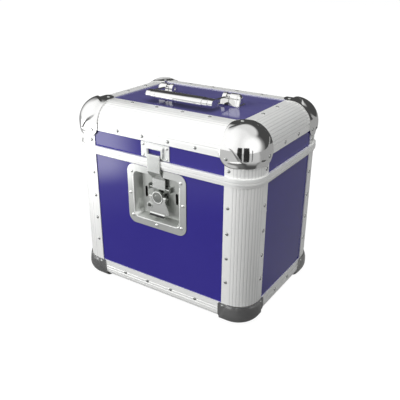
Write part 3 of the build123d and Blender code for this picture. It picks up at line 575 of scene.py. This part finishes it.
def softened(name, width, material, body):
    # a node's own shape with its sharp edges broken, as pressed and cast metal has
    made = bmesh.new()
    made.from_mesh(nodes[name].data)
    bmesh.ops.remove_doubles(made, verts=made.verts, dist=weldNode)
    flat, sharper = math.radians(breaking["flatWithin"]), math.radians(breaking["sharper"])
    bmesh.ops.dissolve_limit(made, angle_limit=flat, verts=made.verts, edges=made.edges)
    sharp = [edge for edge in made.edges if len(edge.link_faces) == 2 and edge.calc_face_angle(0) > sharper]
    bmesh.ops.bevel(
        made, geom=sharp, offset=width, offset_type="OFFSET", segments=breaking["steps"],
        profile=breaking["profile"], affect="EDGES", clamp_overlap=True, miter_outer="ARC",
    )
    bmesh.ops.triangulate(made, faces=[face for face in made.faces if len(face.verts) > 4])
    mesh = bpy.data.meshes.new(name)
    made.to_mesh(mesh)
    made.free()
    mesh.shade_smooth()
    markEdges(mesh, "softened")
    # flat faces keep their own direction, so only the broken edges shade round
    thing = looseObject(name + "Level", mesh)
    level = thing.modifiers.new("level", "WEIGHTED_NORMAL")
    level.weight = breaking["flatWeight"]
    level.keep_sharp = True
    return finishPiece(name + "Soft", bakeModifiers(thing), material, body, (name,), smooth=False)


# the case's sizes, read from the frame
case = {
    "halfWidth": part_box("top_edge_right")[1].x,
    "halfDepth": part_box("top_edge_back")[1].y,
    "top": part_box("top_edge_front")[1].z,
    "low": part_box("base_edge_front")[0].z,
    "edgeRadius": 38 * mm,
    "baseRadius": 18 * mm,
    "sheet": 1.6 * mm,
}
sides = {"left": -1, "right": 1}
ends = {"front": -1, "back": 1}


# ribbed edges
edges = {
    "postReach": 49 * mm, "topReach": 50 * mm, "topDrop": 45.3 * mm,
    "baseReach": 40 * mm, "baseRise": 35.4 * mm,
    "ribPitch": 5.4 * mm, "ribDepth": 0.26 * mm, "ribMargin": 2 * mm,
    "baseRibPitch": 5.2 * mm, "baseRibDepth": 0.7 * mm, "baseRibMargin": -9 * mm,
    "grooveSharpness": 5.0, "step": 0.3 * mm,
}


def shapeTree(name, inputs):
    # an empty tree with its inputs, named by kind, and one shape as its output
    tree = bpy.data.node_groups.new(name, "GeometryNodeTree")
    for kind, names in inputs.items():
        for given in names:
            tree.interface.new_socket(name=given, in_out="INPUT", socket_type="NodeSocket" + kind)
    tree.interface.new_socket(name="Geometry", in_out="OUTPUT", socket_type="NodeSocketGeometry")
    return tree


def edgeTree():
    # a flat grid rolled round the corner: its first direction is the way across, its second the length
    tree = shapeTree("ribbedEdge", {
        "Float": ("Length", "Radius", "Reach A", "Reach B", "Rib Depth", "Rib Pitch", "Rib Margin"),
        "Int": ("Across",), "Material": ("Material",),
    })
    maker = NodeMaker(tree)
    given = maker.node("NodeGroupInput")
    length, radius = given.out("Length"), given.out("Radius")
    flatA, flatB = given.out("Reach A") - radius, given.out("Reach B") - radius
    arc = radius * (math.pi / 2)
    across = flatA + arc + flatB
    grid = maker.node("GeometryNodeMeshGrid", None, {
        "Size X": 1.0, "Size Y": 1.0, "Vertices X": given.out("Across"), "Vertices Y": 2,
    })
    where = maker.node("ShaderNodeSeparateXYZ", None, {"Vector": maker.node("GeometryNodeInputPosition")})
    travelled = (where.out("X") + 0.5) * across
    turned = travelled - flatA
    angle = turned.math("MAXIMUM", 0.0).math("MINIMUM", arc) / radius
    sine, cosine = angle.math("SINE"), angle.math("COSINE")
    # narrow grooves run along the rounding, and onto the flats where the margin is negative
    margin = given.out("Rib Margin")
    inside = (turned - margin).math("MAXIMUM", 0.0).math("MINIMUM", arc - 2 * margin)
    count = ((arc - 2 * margin) / given.out("Rib Pitch")).math("ROUND")
    wave = (inside / (arc - 2 * margin) * count * (2 * math.pi)).math("COSINE")
    groove = (0.5 - wave * 0.5) ** edges["grooveSharpness"]
    depth = given.out("Rib Depth") * groove
    grown = radius - depth
    u = radius - grown * sine + (-1.0 * turned).math("MAXIMUM", 0.0)
    v = radius - grown * cosine + (turned - arc).math("MAXIMUM", 0.0)
    moved = maker.node("ShaderNodeCombineXYZ", None, {"X": u, "Y": v, "Z": where.out("Y") * length})
    # the groove share is kept for the aluminium's painted shade in the grooves
    kept = maker.node("GeometryNodeStoreNamedAttribute", {"data_type": "FLOAT", "domain": "POINT"},
                      {"Geometry": grid, "Name": "groove", "Value": groove})
    rolled = maker.node("GeometryNodeSetPosition", None, {"Geometry": kept, "Position": moved})
    maker.paintedOutput(rolled, given.out("Material"))
    return tree


def setInputs(modifier, values):
    for item in modifier.node_group.interface.items_tree:
        if item.in_out == "INPUT" and item.name in values:
            modifier[item.identifier] = values[item.name]


def ribbedEdge(name, tree, corner, inwardA, inwardB, radius, reachA, reachB, length, ribs, material, body):
    thing = looseObject(name + "Work", bpy.data.meshes.new(name + "Work"))
    roll = thing.modifiers.new("roll", "NODES")
    roll.node_group = tree
    across = reachA + reachB + radius * (math.pi / 2 - 2)
    pitch, depth, margin = ribs
    setInputs(roll, {
        "Length": length, "Radius": radius, "Reach A": reachA, "Reach B": reachB,
        "Rib Depth": depth, "Rib Pitch": pitch, "Rib Margin": margin,
        "Across": int(across / edges["step"]), "Material": material,
    })
    mesh = bakeModifiers(thing)
    along = Vector(inwardA).cross(Vector(inwardB))
    turn = Matrix((inwardA, inwardB, along)).transposed().to_4x4()
    mesh.transform(Matrix.Translation(corner) @ turn)
    # the rolled face looks outwards before the sheet gets its thickness
    middle = mesh.polygons[len(mesh.polygons) // 2]
    if middle.normal.dot(Vector(inwardA) + Vector(inwardB)) > 0:
        mesh.flip_normals()
    thing = looseObject(name + "Sheet", mesh)
    wall = thing.modifiers.new("wall", "SOLIDIFY")
    wall.thickness = case["sheet"]
    wall.offset = -1
    mesh = bakeModifiers(thing)
    markEdges(mesh, "edge")
    return finishPiece(name + "Sheet", mesh, material, body, (name,))


def makeEdges():
    tree = edgeTree()
    fine = (edges["ribPitch"], edges["ribDepth"], edges["ribMargin"])
    broad = (edges["baseRibPitch"], edges["baseRibDepth"], edges["baseRibMargin"])
    width, depth = case["halfWidth"], case["halfDepth"]
    radius, baseRadius = case["edgeRadius"], case["baseRadius"]
    post = edges["postReach"]
    bands = [
        # prefix, way up, level, radius, reach, drop or rise, ribs, body
        ("top_edge", -1, case["top"], radius, edges["topReach"], edges["topDrop"], fine, "lid"),
        ("base_edge", 1, case["low"], baseRadius, edges["baseReach"], edges["baseRise"], broad, "case_body"),
    ]
    for end, sy in ends.items():
        for side, sx in sides.items():
            for prefix, body in (("post", "case_body"), ("lid_post", "lid")):
                name = f"{prefix}_{end}_{side}"
                low, high = (corner.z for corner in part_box(name))
                ribbedEdge(name, tree, (sx * width, sy * depth, (low + high) / 2), (-sx, 0, 0), (0, -sy, 0),
                           radius, post, post, high - low, fine, aluminiumUp, body)
        for prefix, up, level, bend, reach, drop, ribs, body in bands:
            low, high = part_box(f"{prefix}_{end}")
            ribbedEdge(f"{prefix}_{end}", tree, (0, sy * depth, level), (0, -sy, 0), (0, 0, up), bend,
                       reach, drop, high.x - low.x, ribs, aluminiumAcross, body)
    for side, sx in sides.items():
        for prefix, up, level, bend, reach, drop, ribs, body in bands:
            low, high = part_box(f"{prefix}_{side}")
            ribbedEdge(f"{prefix}_{side}", tree, (sx * width, 0, level), (-sx, 0, 0), (0, 0, up), bend,
                       reach, drop, high.y - low.y, ribs, aluminiumDeep, body)


makeEdges()
print("ribbed edges are rolled")


# ball corners
ball = {
    "dome": 42.5 * mm, "envelope": 39.7 * mm, "edge": 44.5 * mm, "wall": 1.6 * mm,
    "domeBlend": 3.0 * mm, "earBlend": 1.4 * mm,
    # creases between dome and ears, moved out under the middle by a share
    "crease": 31 * mm, "creaseOut": 1.5, "leastLean": 0.2,
    # the barrel under the middle: where it starts, how far its foot is drawn in and where it ends
    "barrel": 2 * mm, "tuck": 3.9 * mm, "foot": 20.8 * mm, "leastFlat": 0.2, "mostDrop": 0.999,
    # how the underside narrows towards the ears and is trimmed in the middle: start and change
    "under": (0.2, 0.12), "narrow": (0.25, 0.6), "underTrim": 1.2 * mm, "trimEnd": 1.15,
    # the outer edge is rolled in
    "roll": 0.7 * mm, "rollShare": 0.8, "mostRoll": 0.98,
    "around": 132, "out": 60, "halvings": 40, "rounds": 30,
}


def ramp(value, start, change):
    return np.clip((value - start) / change, 0, 1)


def softMin(a, b, k):
    h = np.clip(0.5 + 0.5 * (b - a) / k, 0, 1)
    return b * (1 - h) + a * h - k * h * (1 - h)


def softMax(a, b, k):
    return -softMin(-a, -b, k)


def gridFaces(rows, columns, closed):
    faces = []
    for i in range(rows - 1):
        for j in range(columns if closed else columns - 1):
            k = (j + 1) % columns
            faces.append((i * columns + j, i * columns + k, (i + 1) * columns + k, (i + 1) * columns + j))
    return faces


def tubeFaces(rings, around):
    # rings joined along a tube, its two ends closed
    last = (rings - 1) * around
    lids = [tuple(range(around)), tuple(last + i for i in range(around))]
    return gridFaces(rings, around, True) + lids


def ballShell():
    # the cap's outside as rays from the middle of the rounding, outwards to its round edge
    main = np.ones(3) / math.sqrt(3)
    first = np.cross(main, (0, 0, 1.0))
    first /= np.linalg.norm(first)
    second = np.cross(main, first)
    angle = np.linspace(0, 2 * math.pi, ball["around"], endpoint=False)
    side = np.outer(np.cos(angle), first) + np.outer(np.sin(angle), second)
    limit = ball["envelope"] / ball["edge"]
    low, high = np.zeros(len(angle)), np.full(len(angle), math.pi)
    for _ in range(ball["halvings"]):
        middle = (low + high) / 2
        ray = np.cos(middle)[:, None] * main + np.sin(middle)[:, None] * side
        inside = np.linalg.norm(np.maximum(ray, 0), axis=1) > limit
        low, high = np.where(inside, middle, low), np.where(inside, high, middle)
    share = np.linspace(0, 1, ball["out"] + 1)
    reach = low[None, :] * share[:, None]
    ray = np.cos(reach)[..., None] * main + np.sin(reach)[..., None] * side[None]
    skirt = ball["envelope"] / np.linalg.norm(np.maximum(ray, 0), axis=2)
    # under the middle the dome goes on as a barrel, its foot drawn in to the post
    flatReach = np.maximum(np.hypot(ray[..., 0], ray[..., 1]), ball["leastFlat"])
    dome = np.full(skirt.shape, ball["dome"])
    height = ball["foot"] - ball["barrel"]
    for _ in range(ball["rounds"]):
        drop = np.clip((-dome * ray[..., 2] - ball["barrel"]) / height, 0, ball["mostDrop"])
        barrel = (ball["dome"] - ball["tuck"] * (1 - np.sqrt(1 - drop ** 2))) / flatReach
        dome = np.where(ray[..., 2] < 0, 0.5 * dome + 0.5 * barrel, ball["dome"])
    sideways = np.abs(ray[..., 0] - ray[..., 1]) / flatReach
    under = ramp(-ray[..., 2], *ball["under"])
    dome = dome - (ball["dome"] - ball["envelope"]) * ramp(sideways, *ball["narrow"]) * under / flatReach
    skirt = skirt - ball["underTrim"] * np.clip(ball["trimEnd"] - sideways, 0, 1) * under
    for a, b, c in ((0, 1, 2), (1, 2, 0), (2, 0, 1)):
        lean = ray[..., b] - ray[..., a] - ray[..., c]
        fold = ball["crease"] * (1 + ball["creaseOut"] * under)
        crease = np.where(lean > ball["leastLean"], fold / np.maximum(lean, ball["leastLean"]), 1.0)
        dome = softMin(dome, crease, ball["domeBlend"])
    radius = softMax(skirt, dome, ball["earBlend"])
    rolled = np.clip(1 - (low[None, :] - reach) * radius / ball["roll"], 0, ball["mostRoll"])
    radius = radius - ball["roll"] * ball["rollShare"] * (1 - np.sqrt(1 - rolled ** 2))
    return ray * radius[..., None], gridFaces(ball["out"] + 1, ball["around"], True)


def shellMesh(name, points, faces, middle, wall):
    # one sheet, its poles merged, turned outwards from a point inside, then given its thickness
    mesh = plainMesh(name, points, faces)
    outward(mesh)
    face = mesh.polygons[len(mesh.polygons) // 2]
    if face.normal.dot(face.center - Vector(middle)) < 0:
        mesh.flip_normals()
    thing = looseObject(name + "Wall", mesh)
    solid = thing.modifiers.new("wall", "SOLIDIFY")
    solid.thickness = wall
    solid.offset = -1
    mesh = bakeModifiers(thing)
    markEdges(mesh, "shell")
    return mesh


def makeBalls():
    shape, faces = ballShell()
    middle = (case["halfWidth"] - case["edgeRadius"], case["halfDepth"] - case["edgeRadius"],
              case["top"] - case["edgeRadius"])
    for end, sy in ends.items():
        for side, sx in sides.items():
            name = f"ball_corner_{end}_{side}"
            sign = np.array((sx, sy, 1))
            points = (shape.reshape(-1, 3) + middle) * sign
            mesh = shellMesh(name, points, faces, np.array(middle) * sign, ball["wall"])
            finishPiece(name + "Cap", mesh, chrome, "lid", (name,))


makeBalls()
print("ball corners are pressed")


# base corners
foot = {
    "reach": 54.6 * mm, "proud": 1.7 * mm, "domeProud": 4.6 * mm, "under": 2.6 * mm, "ball": 43.4 * mm,
    "ballLevel": 20.6 * mm, "rise": 38 * mm, "creaseHigh": 40.2 * mm, "creaseLow": 53.0 * mm,
    "facetLow": 24 * mm, "facetOut": 42.6 * mm, "wall": 1.6 * mm, "corner": 4 * mm,
    "blend": 1.6 * mm, "earBlend": 1.0 * mm, "turns": 96, "drops": 84,
    # rays from the middle of the rounding: their usual length, and the search for the wall
    "rayShare": 1.4, "mostCut": 0.999, "nearest": 20 * mm, "furthest": 110 * mm, "halvings": 40,
}


def footDistance(p):
    # how far a point lies outside the pressed corner: its thin ears joined with the bulge
    r, base = case["edgeRadius"], case["baseRadius"]
    x, y, z = p[..., 0], p[..., 1], p[..., 2]
    flat = np.hypot(np.maximum(x, 0), np.maximum(y, 0)) + np.minimum(np.maximum(x, y), 0) - r
    level = case["low"] + base

    def rounded(grown, under):
        out = flat - grown + base + under
        down = level - z
        within = np.minimum(np.maximum(out, down), 0)
        return np.hypot(np.maximum(out, 0), np.maximum(down, 0)) + within - base - under

    ears = rounded(foot["proud"], foot["proud"])
    bulge = rounded(foot["domeProud"], foot["under"])
    sphere = np.sqrt(x * x + y * y + (z - foot["ballLevel"]) ** 2) - foot["ball"]
    bulge = softMax(bulge, sphere, foot["blend"])
    lean = (foot["creaseLow"] - foot["creaseHigh"]) / foot["rise"]
    steep = math.sqrt(2 + lean * lean)
    for u, v in ((x, y), (y, x)):
        plane = ((r - foot["creaseHigh"] - u) + (v - r - foot["proud"]) - lean * (foot["rise"] - z)) / steep
        bulge = softMax(bulge, plane, foot["blend"])
    # a flat facet across the corner
    diagonal = math.sqrt(2)
    facetLean = (foot["domeProud"] - foot["proud"]) / (foot["rise"] - foot["facetLow"]) * diagonal
    across = x + y - foot["facetOut"] * diagonal
    facet = (across + facetLean * (z - foot["facetLow"])) / math.sqrt(2 + facetLean ** 2)
    bulge = softMax(bulge, facet, foot["blend"])
    return softMin(ears, bulge, foot["earBlend"])


def footShell():
    inner = foot["reach"] - case["edgeRadius"]
    start = np.array((-inner, -inner, foot["rise"]))
    turn = np.linspace(0, math.pi / 2, foot["turns"])
    length = foot["reach"] * foot["rayShare"]
    # the ears' upper outer corners are rounded off
    along = np.minimum(np.sin(turn), np.cos(turn)) * length
    cut = np.clip(1 - along / foot["corner"], 0, foot["mostCut"])
    top = foot["corner"] * (1 - np.sqrt(1 - cut ** 2)) / length
    share = np.linspace(0, 1, foot["drops"])
    fall = top[None, :] + (math.pi / 2 - top[None, :]) * share[:, None]
    ray = np.stack((np.cos(fall) * np.cos(turn), np.cos(fall) * np.sin(turn), -np.sin(fall)), axis=2)
    low, high = np.full(fall.shape, foot["nearest"]), np.full(fall.shape, foot["furthest"])
    for _ in range(foot["halvings"]):
        middle = (low + high) / 2
        inside = footDistance(start + ray * middle[..., None]) < 0
        low, high = np.where(inside, middle, low), np.where(inside, high, middle)
    return start + ray * low[..., None], gridFaces(foot["drops"], foot["turns"], False)


def makeFeet():
    shape, faces = footShell()
    x, y = case["halfWidth"] - case["edgeRadius"], case["halfDepth"] - case["edgeRadius"]
    for end, sy in ends.items():
        for side, sx in sides.items():
            name = f"base_corner_{end}_{side}"
            sign = np.array((sx, sy, 1))
            points = (shape.reshape(-1, 3) + (x, y, 0)) * sign
            mesh = shellMesh(name, points, faces, np.array((x, y, foot["rise"])) * sign, foot["wall"])
            finishPiece(name + "Cap", mesh, nickel, "case_body", (name,))


makeFeet()
print("base corners are pressed")


# rivets
rivets = {
    "headRadius": 3.1 * mm, "headHeight": 1.5 * mm, "shankRadius": 1.6 * mm, "tailRadius": 2.7 * mm,
    "tailHeight": 0.7 * mm, "around": 14, "rings": 8, "wideShare": 0.9,
}


def rivetPlaces(name):
    # each rivet is an island of the node's mesh: its head end is the wide one
    made = bmesh.new()
    made.from_mesh(nodes[name].data)
    bmesh.ops.remove_doubles(made, verts=made.verts, dist=weldNode)
    places, left = [], set(made.verts)
    while left:
        island, waiting = [], [left.pop()]
        while waiting:
            vert = waiting.pop()
            island.append(vert.co.copy())
            for edge in vert.link_edges:
                other = edge.other_vert(vert)
                if other in left:
                    left.remove(other)
                    waiting.append(other)
        cloud = np.array(island)
        low, high = cloud.min(0), cloud.max(0)
        axis = int(np.argmax(high - low))
        flat = [i for i in range(3) if i != axis]
        middle = (low + high) / 2
        wide = np.linalg.norm((cloud - middle)[:, flat], axis=1)
        headLevel = cloud[wide > rivets["wideShare"] * wide.max(), axis].mean()
        sign = 1 if headLevel > middle[axis] else -1
        normal = np.zeros(3)
        normal[axis] = sign
        point = middle.copy()
        point[axis] = headLevel
        places.append((point, normal, abs((low if sign > 0 else high)[axis] - headLevel)))
    made.free()
    return places


def rivetTree():
    tree = shapeTree("rivets", {
        "Geometry": ("Geometry",),
        "Float": ("Head Radius", "Head Height", "Shank Radius", "Tail Radius", "Tail Height"),
        "Int": ("Around", "Rings"), "Material": ("Material",),
    })
    maker = NodeMaker(tree)
    given = maker.node("NodeGroupInput")

    def named(name, kind="FLOAT"):
        return maker.node("GeometryNodeInputNamedAttribute", {"data_type": kind}, {"Name": name})

    def scaled(shape, radius, height, lift=0.0):
        size = maker.node("ShaderNodeCombineXYZ", None, {"X": radius, "Y": radius, "Z": height})
        shift = maker.node("ShaderNodeCombineXYZ", None, {"Z": lift})
        sockets = {"Geometry": shape, "Scale": size, "Translation": shift}
        return maker.node("GeometryNodeTransform", None, sockets)

    around = given.out("Around")
    dome = maker.node("GeometryNodeMeshUVSphere", None, {
        "Segments": around, "Rings": given.out("Rings"), "Radius": 1.0,
    })
    bar = maker.node("GeometryNodeMeshCylinder", None, {"Vertices": around, "Radius": 1.0, "Depth": 1.0})
    head = scaled(dome, given.out("Head Radius"), given.out("Head Height"))
    shank = scaled(bar, given.out("Shank Radius"), 1.0, -0.5)
    tail = scaled(bar, given.out("Tail Radius"), given.out("Tail Height"))
    facing, grip = named("facing", "FLOAT_VECTOR"), named("grip")
    turn = maker.node("FunctionNodeAlignRotationToVector", {"axis": "Z"}, {"Vector": facing})
    points = maker.node("GeometryNodeMeshToPoints", None, {"Mesh": given})
    back = maker.node("ShaderNodeVectorMath", {"operation": "SCALE"}, {
        0: facing, "Scale": (grip + given.out("Tail Height") * 0.5) * -1.0,
    })
    tailPoints = maker.node("GeometryNodeSetPosition", None, {"Geometry": points, "Offset": back})
    long = maker.node("ShaderNodeCombineXYZ", None, {"X": 1.0, "Y": 1.0, "Z": grip})
    placed = [
        {"Points": points, "Instance": head, "Rotation": turn},
        {"Points": points, "Instance": shank, "Rotation": turn, "Scale": long},
        {"Points": tailPoints, "Instance": tail, "Rotation": turn},
    ]
    joined = maker.node("GeometryNodeJoinGeometry")
    for sockets in reversed(placed):
        one = maker.node("GeometryNodeInstanceOnPoints", None, sockets)
        tree.links.new(one.socket, joined.made.inputs[0])
    maker.paintedOutput(joined, given.out("Material"))
    return tree


def makeRivets(name, tree, body):
    places = rivetPlaces(name)
    mesh = plainMesh(name + "Points", [point for point, _, _ in places], [])
    mesh.attributes.new("facing", "FLOAT_VECTOR", "POINT")
    mesh.attributes.new("grip", "FLOAT", "POINT")
    for i, (_, normal, long) in enumerate(places):
        mesh.attributes["facing"].data[i].vector = normal
        mesh.attributes["grip"].data[i].value = long
    thing = looseObject(name + "Points", mesh)
    press = thing.modifiers.new("press", "NODES")
    press.node_group = tree
    setInputs(press, {
        "Head Radius": rivets["headRadius"], "Head Height": rivets["headHeight"],
        "Shank Radius": rivets["shankRadius"], "Tail Radius": rivets["tailRadius"],
        "Tail Height": rivets["tailHeight"], "Around": rivets["around"], "Rings": rivets["rings"],
        "Material": rivetSteel,
    })
    mesh = bakeModifiers(thing)
    markEdges(mesh, "rivet")
    print(name, len(places), "rivets,", len(mesh.polygons), "faces")
    return finishPiece(name + "Set", mesh, rivetSteel, body, (name,))


# hand grip: a crowned bar between two plain ferrules
grip = {
    "crown": 2.7, "ferrule": 10.5 * mm, "ferruleShare": 0.93, "groove": 0.8 * mm, "grooveShare": 0.84,
    "shoulder": 1.2 * mm, "shoulderShare": 0.97, "endRound": 1.6 * mm, "around": 56, "roundSteps": 6,
}


def gripRing(x, halfDepth, halfHeight, middle):
    turn = np.linspace(0, 2 * math.pi, grip["around"], endpoint=False)
    power = 2 / grip["crown"]
    y = halfDepth * np.sign(np.cos(turn)) * np.abs(np.cos(turn)) ** power
    z = halfHeight * np.sign(np.sin(turn)) * np.abs(np.sin(turn)) ** power
    return np.stack((np.full(grip["around"], x), middle.y + y, middle.z + z), axis=1)


def makeGrip():
    low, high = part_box("handle_grip")
    middle, half = (low + high) / 2, (high - low) / 2
    joint, gap = half.x - grip["ferrule"], grip["groove"] / 2
    # half the bar, from its right end to the middle: place, share of the section, inset
    profile = []
    for step in np.linspace(0, math.pi / 2, grip["roundSteps"]):
        inset = grip["endRound"] * (1 - math.sin(step))
        profile.append((half.x - grip["endRound"] * (1 - math.cos(step)), grip["ferruleShare"], inset))
    profile += [
        (joint + gap, grip["ferruleShare"], 0.0), (joint + gap, grip["grooveShare"], 0.0),
        (joint - gap, grip["grooveShare"], 0.0), (joint - gap, grip["shoulderShare"], 0.0),
        (joint - gap - grip["shoulder"], 1.0, 0.0),
    ]
    profile += [(-x, share, inset) for x, share, inset in reversed(profile)]
    points = np.concatenate([
        gripRing(x, half.y * share - inset, half.z * share - inset, middle) for x, share, inset in profile
    ])
    faces = tubeFaces(len(profile), grip["around"])
    mesh = plainMesh("handGrip", points, faces)
    outward(mesh)
    markEdges(mesh, "grip")
    finishPiece("handGrip", mesh, chrome, "handle", ("handle_grip",))


makeGrip()
print("hand grip is made")


# raised bead on the dish's flange, along both sides and the foot of the mouth
bead = {
    "flangeSide": 13 * mm, "flangeHead": 12.3 * mm, "flangeFoot": 13.4 * mm, "corner": 8 * mm,
    "outset": 0.9 * mm, "radius": 0.95 * mm, "sunk": 0.25 * mm, "headGap": 11 * mm, "around": 12, "bend": 14,
    # both ends run out to a point: its length and its thickness, in shares of the radius
    "pointLength": 2, "pointRadius": 0.15,
}


def makeBead():
    low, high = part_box("latch_dish")
    half = (high.x - low.x) / 2 - bead["flangeSide"] + bead["outset"]
    head = high.z - bead["flangeHead"] - bead["headGap"]
    bottom = low.z + bead["flangeFoot"] - bead["outset"]
    bend = bead["corner"] + bead["outset"]
    turn = np.linspace(0, math.pi / 2, bead["bend"])
    path = [(-half, head), *zip(-half + bend - bend * np.cos(turn), bottom + bend - bend * np.sin(turn))]
    path += [(-x, z) for x, z in reversed(path)]
    path = np.array(path)
    run = np.gradient(path, axis=0)
    run /= np.linalg.norm(run, axis=1)[:, None]
    # rings round the path
    point = bead["radius"] * bead["pointLength"]
    lead = np.vstack((path[0] - run[0] * point, path, path[-1] + run[-1] * point))
    run = np.vstack((run[0], run, run[-1]))
    size = np.full(len(lead), bead["radius"])
    size[0] = size[-1] = bead["radius"] * bead["pointRadius"]
    turn = np.linspace(0, 2 * math.pi, bead["around"], endpoint=False)
    across = np.stack((-run[:, 1], run[:, 0]), axis=1)
    flat = lead[:, None, :] + across[:, None, :] * (np.cos(turn)[None, :] * size[:, None])[..., None]
    deep = low.y + bead["sunk"] - np.sin(turn)[None, :] * size[:, None]
    points = np.stack((flat[..., 0], deep, flat[..., 1]), axis=2).reshape(-1, 3)
    mesh = plainMesh("mouthBead", points, tubeFaces(len(lead), bead["around"]))
    outward(mesh)
    finishPiece("mouthBead", mesh, paleZinc, "case_body", ())
    print("bead stands", round((bead["radius"] - bead["sunk"]) / mm, 2), "mm proud at", round(low.y / mm, 2))


makeBead()


# polished rim round the face of the boss
rim = {"reach": 11 * mm, "tube": 0.8 * mm, "inset": 0.1 * mm, "setBack": 0.4, "around": 72, "section": 14}


def makeBossRim():
    cap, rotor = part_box("latch_cap"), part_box("latch_rotor")
    middle = (cap[0] + cap[1]) / 2
    front = min(rotor[0].y, cap[0].y)
    rings, around = rim["around"], rim["section"]
    turn = np.linspace(0, 2 * math.pi, rings, endpoint=False)
    section = np.linspace(0, 2 * math.pi, around, endpoint=False)
    far = rim["reach"] - rim["tube"] - rim["inset"] + rim["tube"] * np.cos(section)[None, :]
    x = middle.x + np.cos(turn)[:, None] * far
    z = middle.z + np.sin(turn)[:, None] * far
    y = np.broadcast_to(front + rim["tube"] * (rim["setBack"] - np.sin(section))[None, :], x.shape)
    points = np.stack((x, y, z), axis=2).reshape(-1, 3)
    faces = gridFaces(rings, around, True)
    last = (rings - 1) * around
    for j in range(around):
        k = (j + 1) % around
        faces.append((last + j, last + k, k, j))
    mesh = plainMesh("bossRim", points, faces)
    outward(mesh)
    finishPiece("bossRim", mesh, paleZinc, "latch_rotor", ())


makeBossRim()
print("dish and boss have their bright edges")


# pressed and cast pieces: width of the broken edges in mm, material, body, slot
breaks = {
    "latch_dish": (1.3, dishZinc, "case_body", "zinc_steel"),
    "latch_hook": (0.5, zinc, "latch_hook", "zinc_steel"),
    "latch_wing": (0.7, wingZinc, "latch_wing", "zinc_steel"),
    "latch_rotor": (0.9, bossZinc, "latch_rotor", "zinc_steel"),
    "latch_cap": (0.6, bossZinc, "latch_rotor", "zinc_steel"),
    "catch_plate": (0.5, paleZinc, "lid", "zinc_steel"),
    "handle_bracket_left": (1.0, chrome, "lid", "chrome_steel"),
    "handle_bracket_right": (1.0, chrome, "lid", "chrome_steel"),
    "handle_frame": (0.9, chrome, "handle", "chrome_steel"),
    "body_rim": (0.6, aluminiumUp, "case_body", "ribbed_aluminium"),
    "lid_rim": (0.6, aluminiumUp, "lid", "ribbed_aluminium"),
    "hinge_leaves_body": (0.4, zinc, "case_body", "zinc_steel"),
    "hinge_leaves_lid": (0.4, zinc, "lid", "zinc_steel"),
}
for name, (width, material, body, slot) in breaks.items():
    made = softened(name, width * mm, material, body)
    print(name, len(made.data.polygons), "faces, edges broken")

pressTree = rivetTree()
makeRivets("body_rivets", pressTree, "case_body")
makeRivets("lid_rivets", pressTree, "lid")


# finish
bpy.context.view_layer.update()
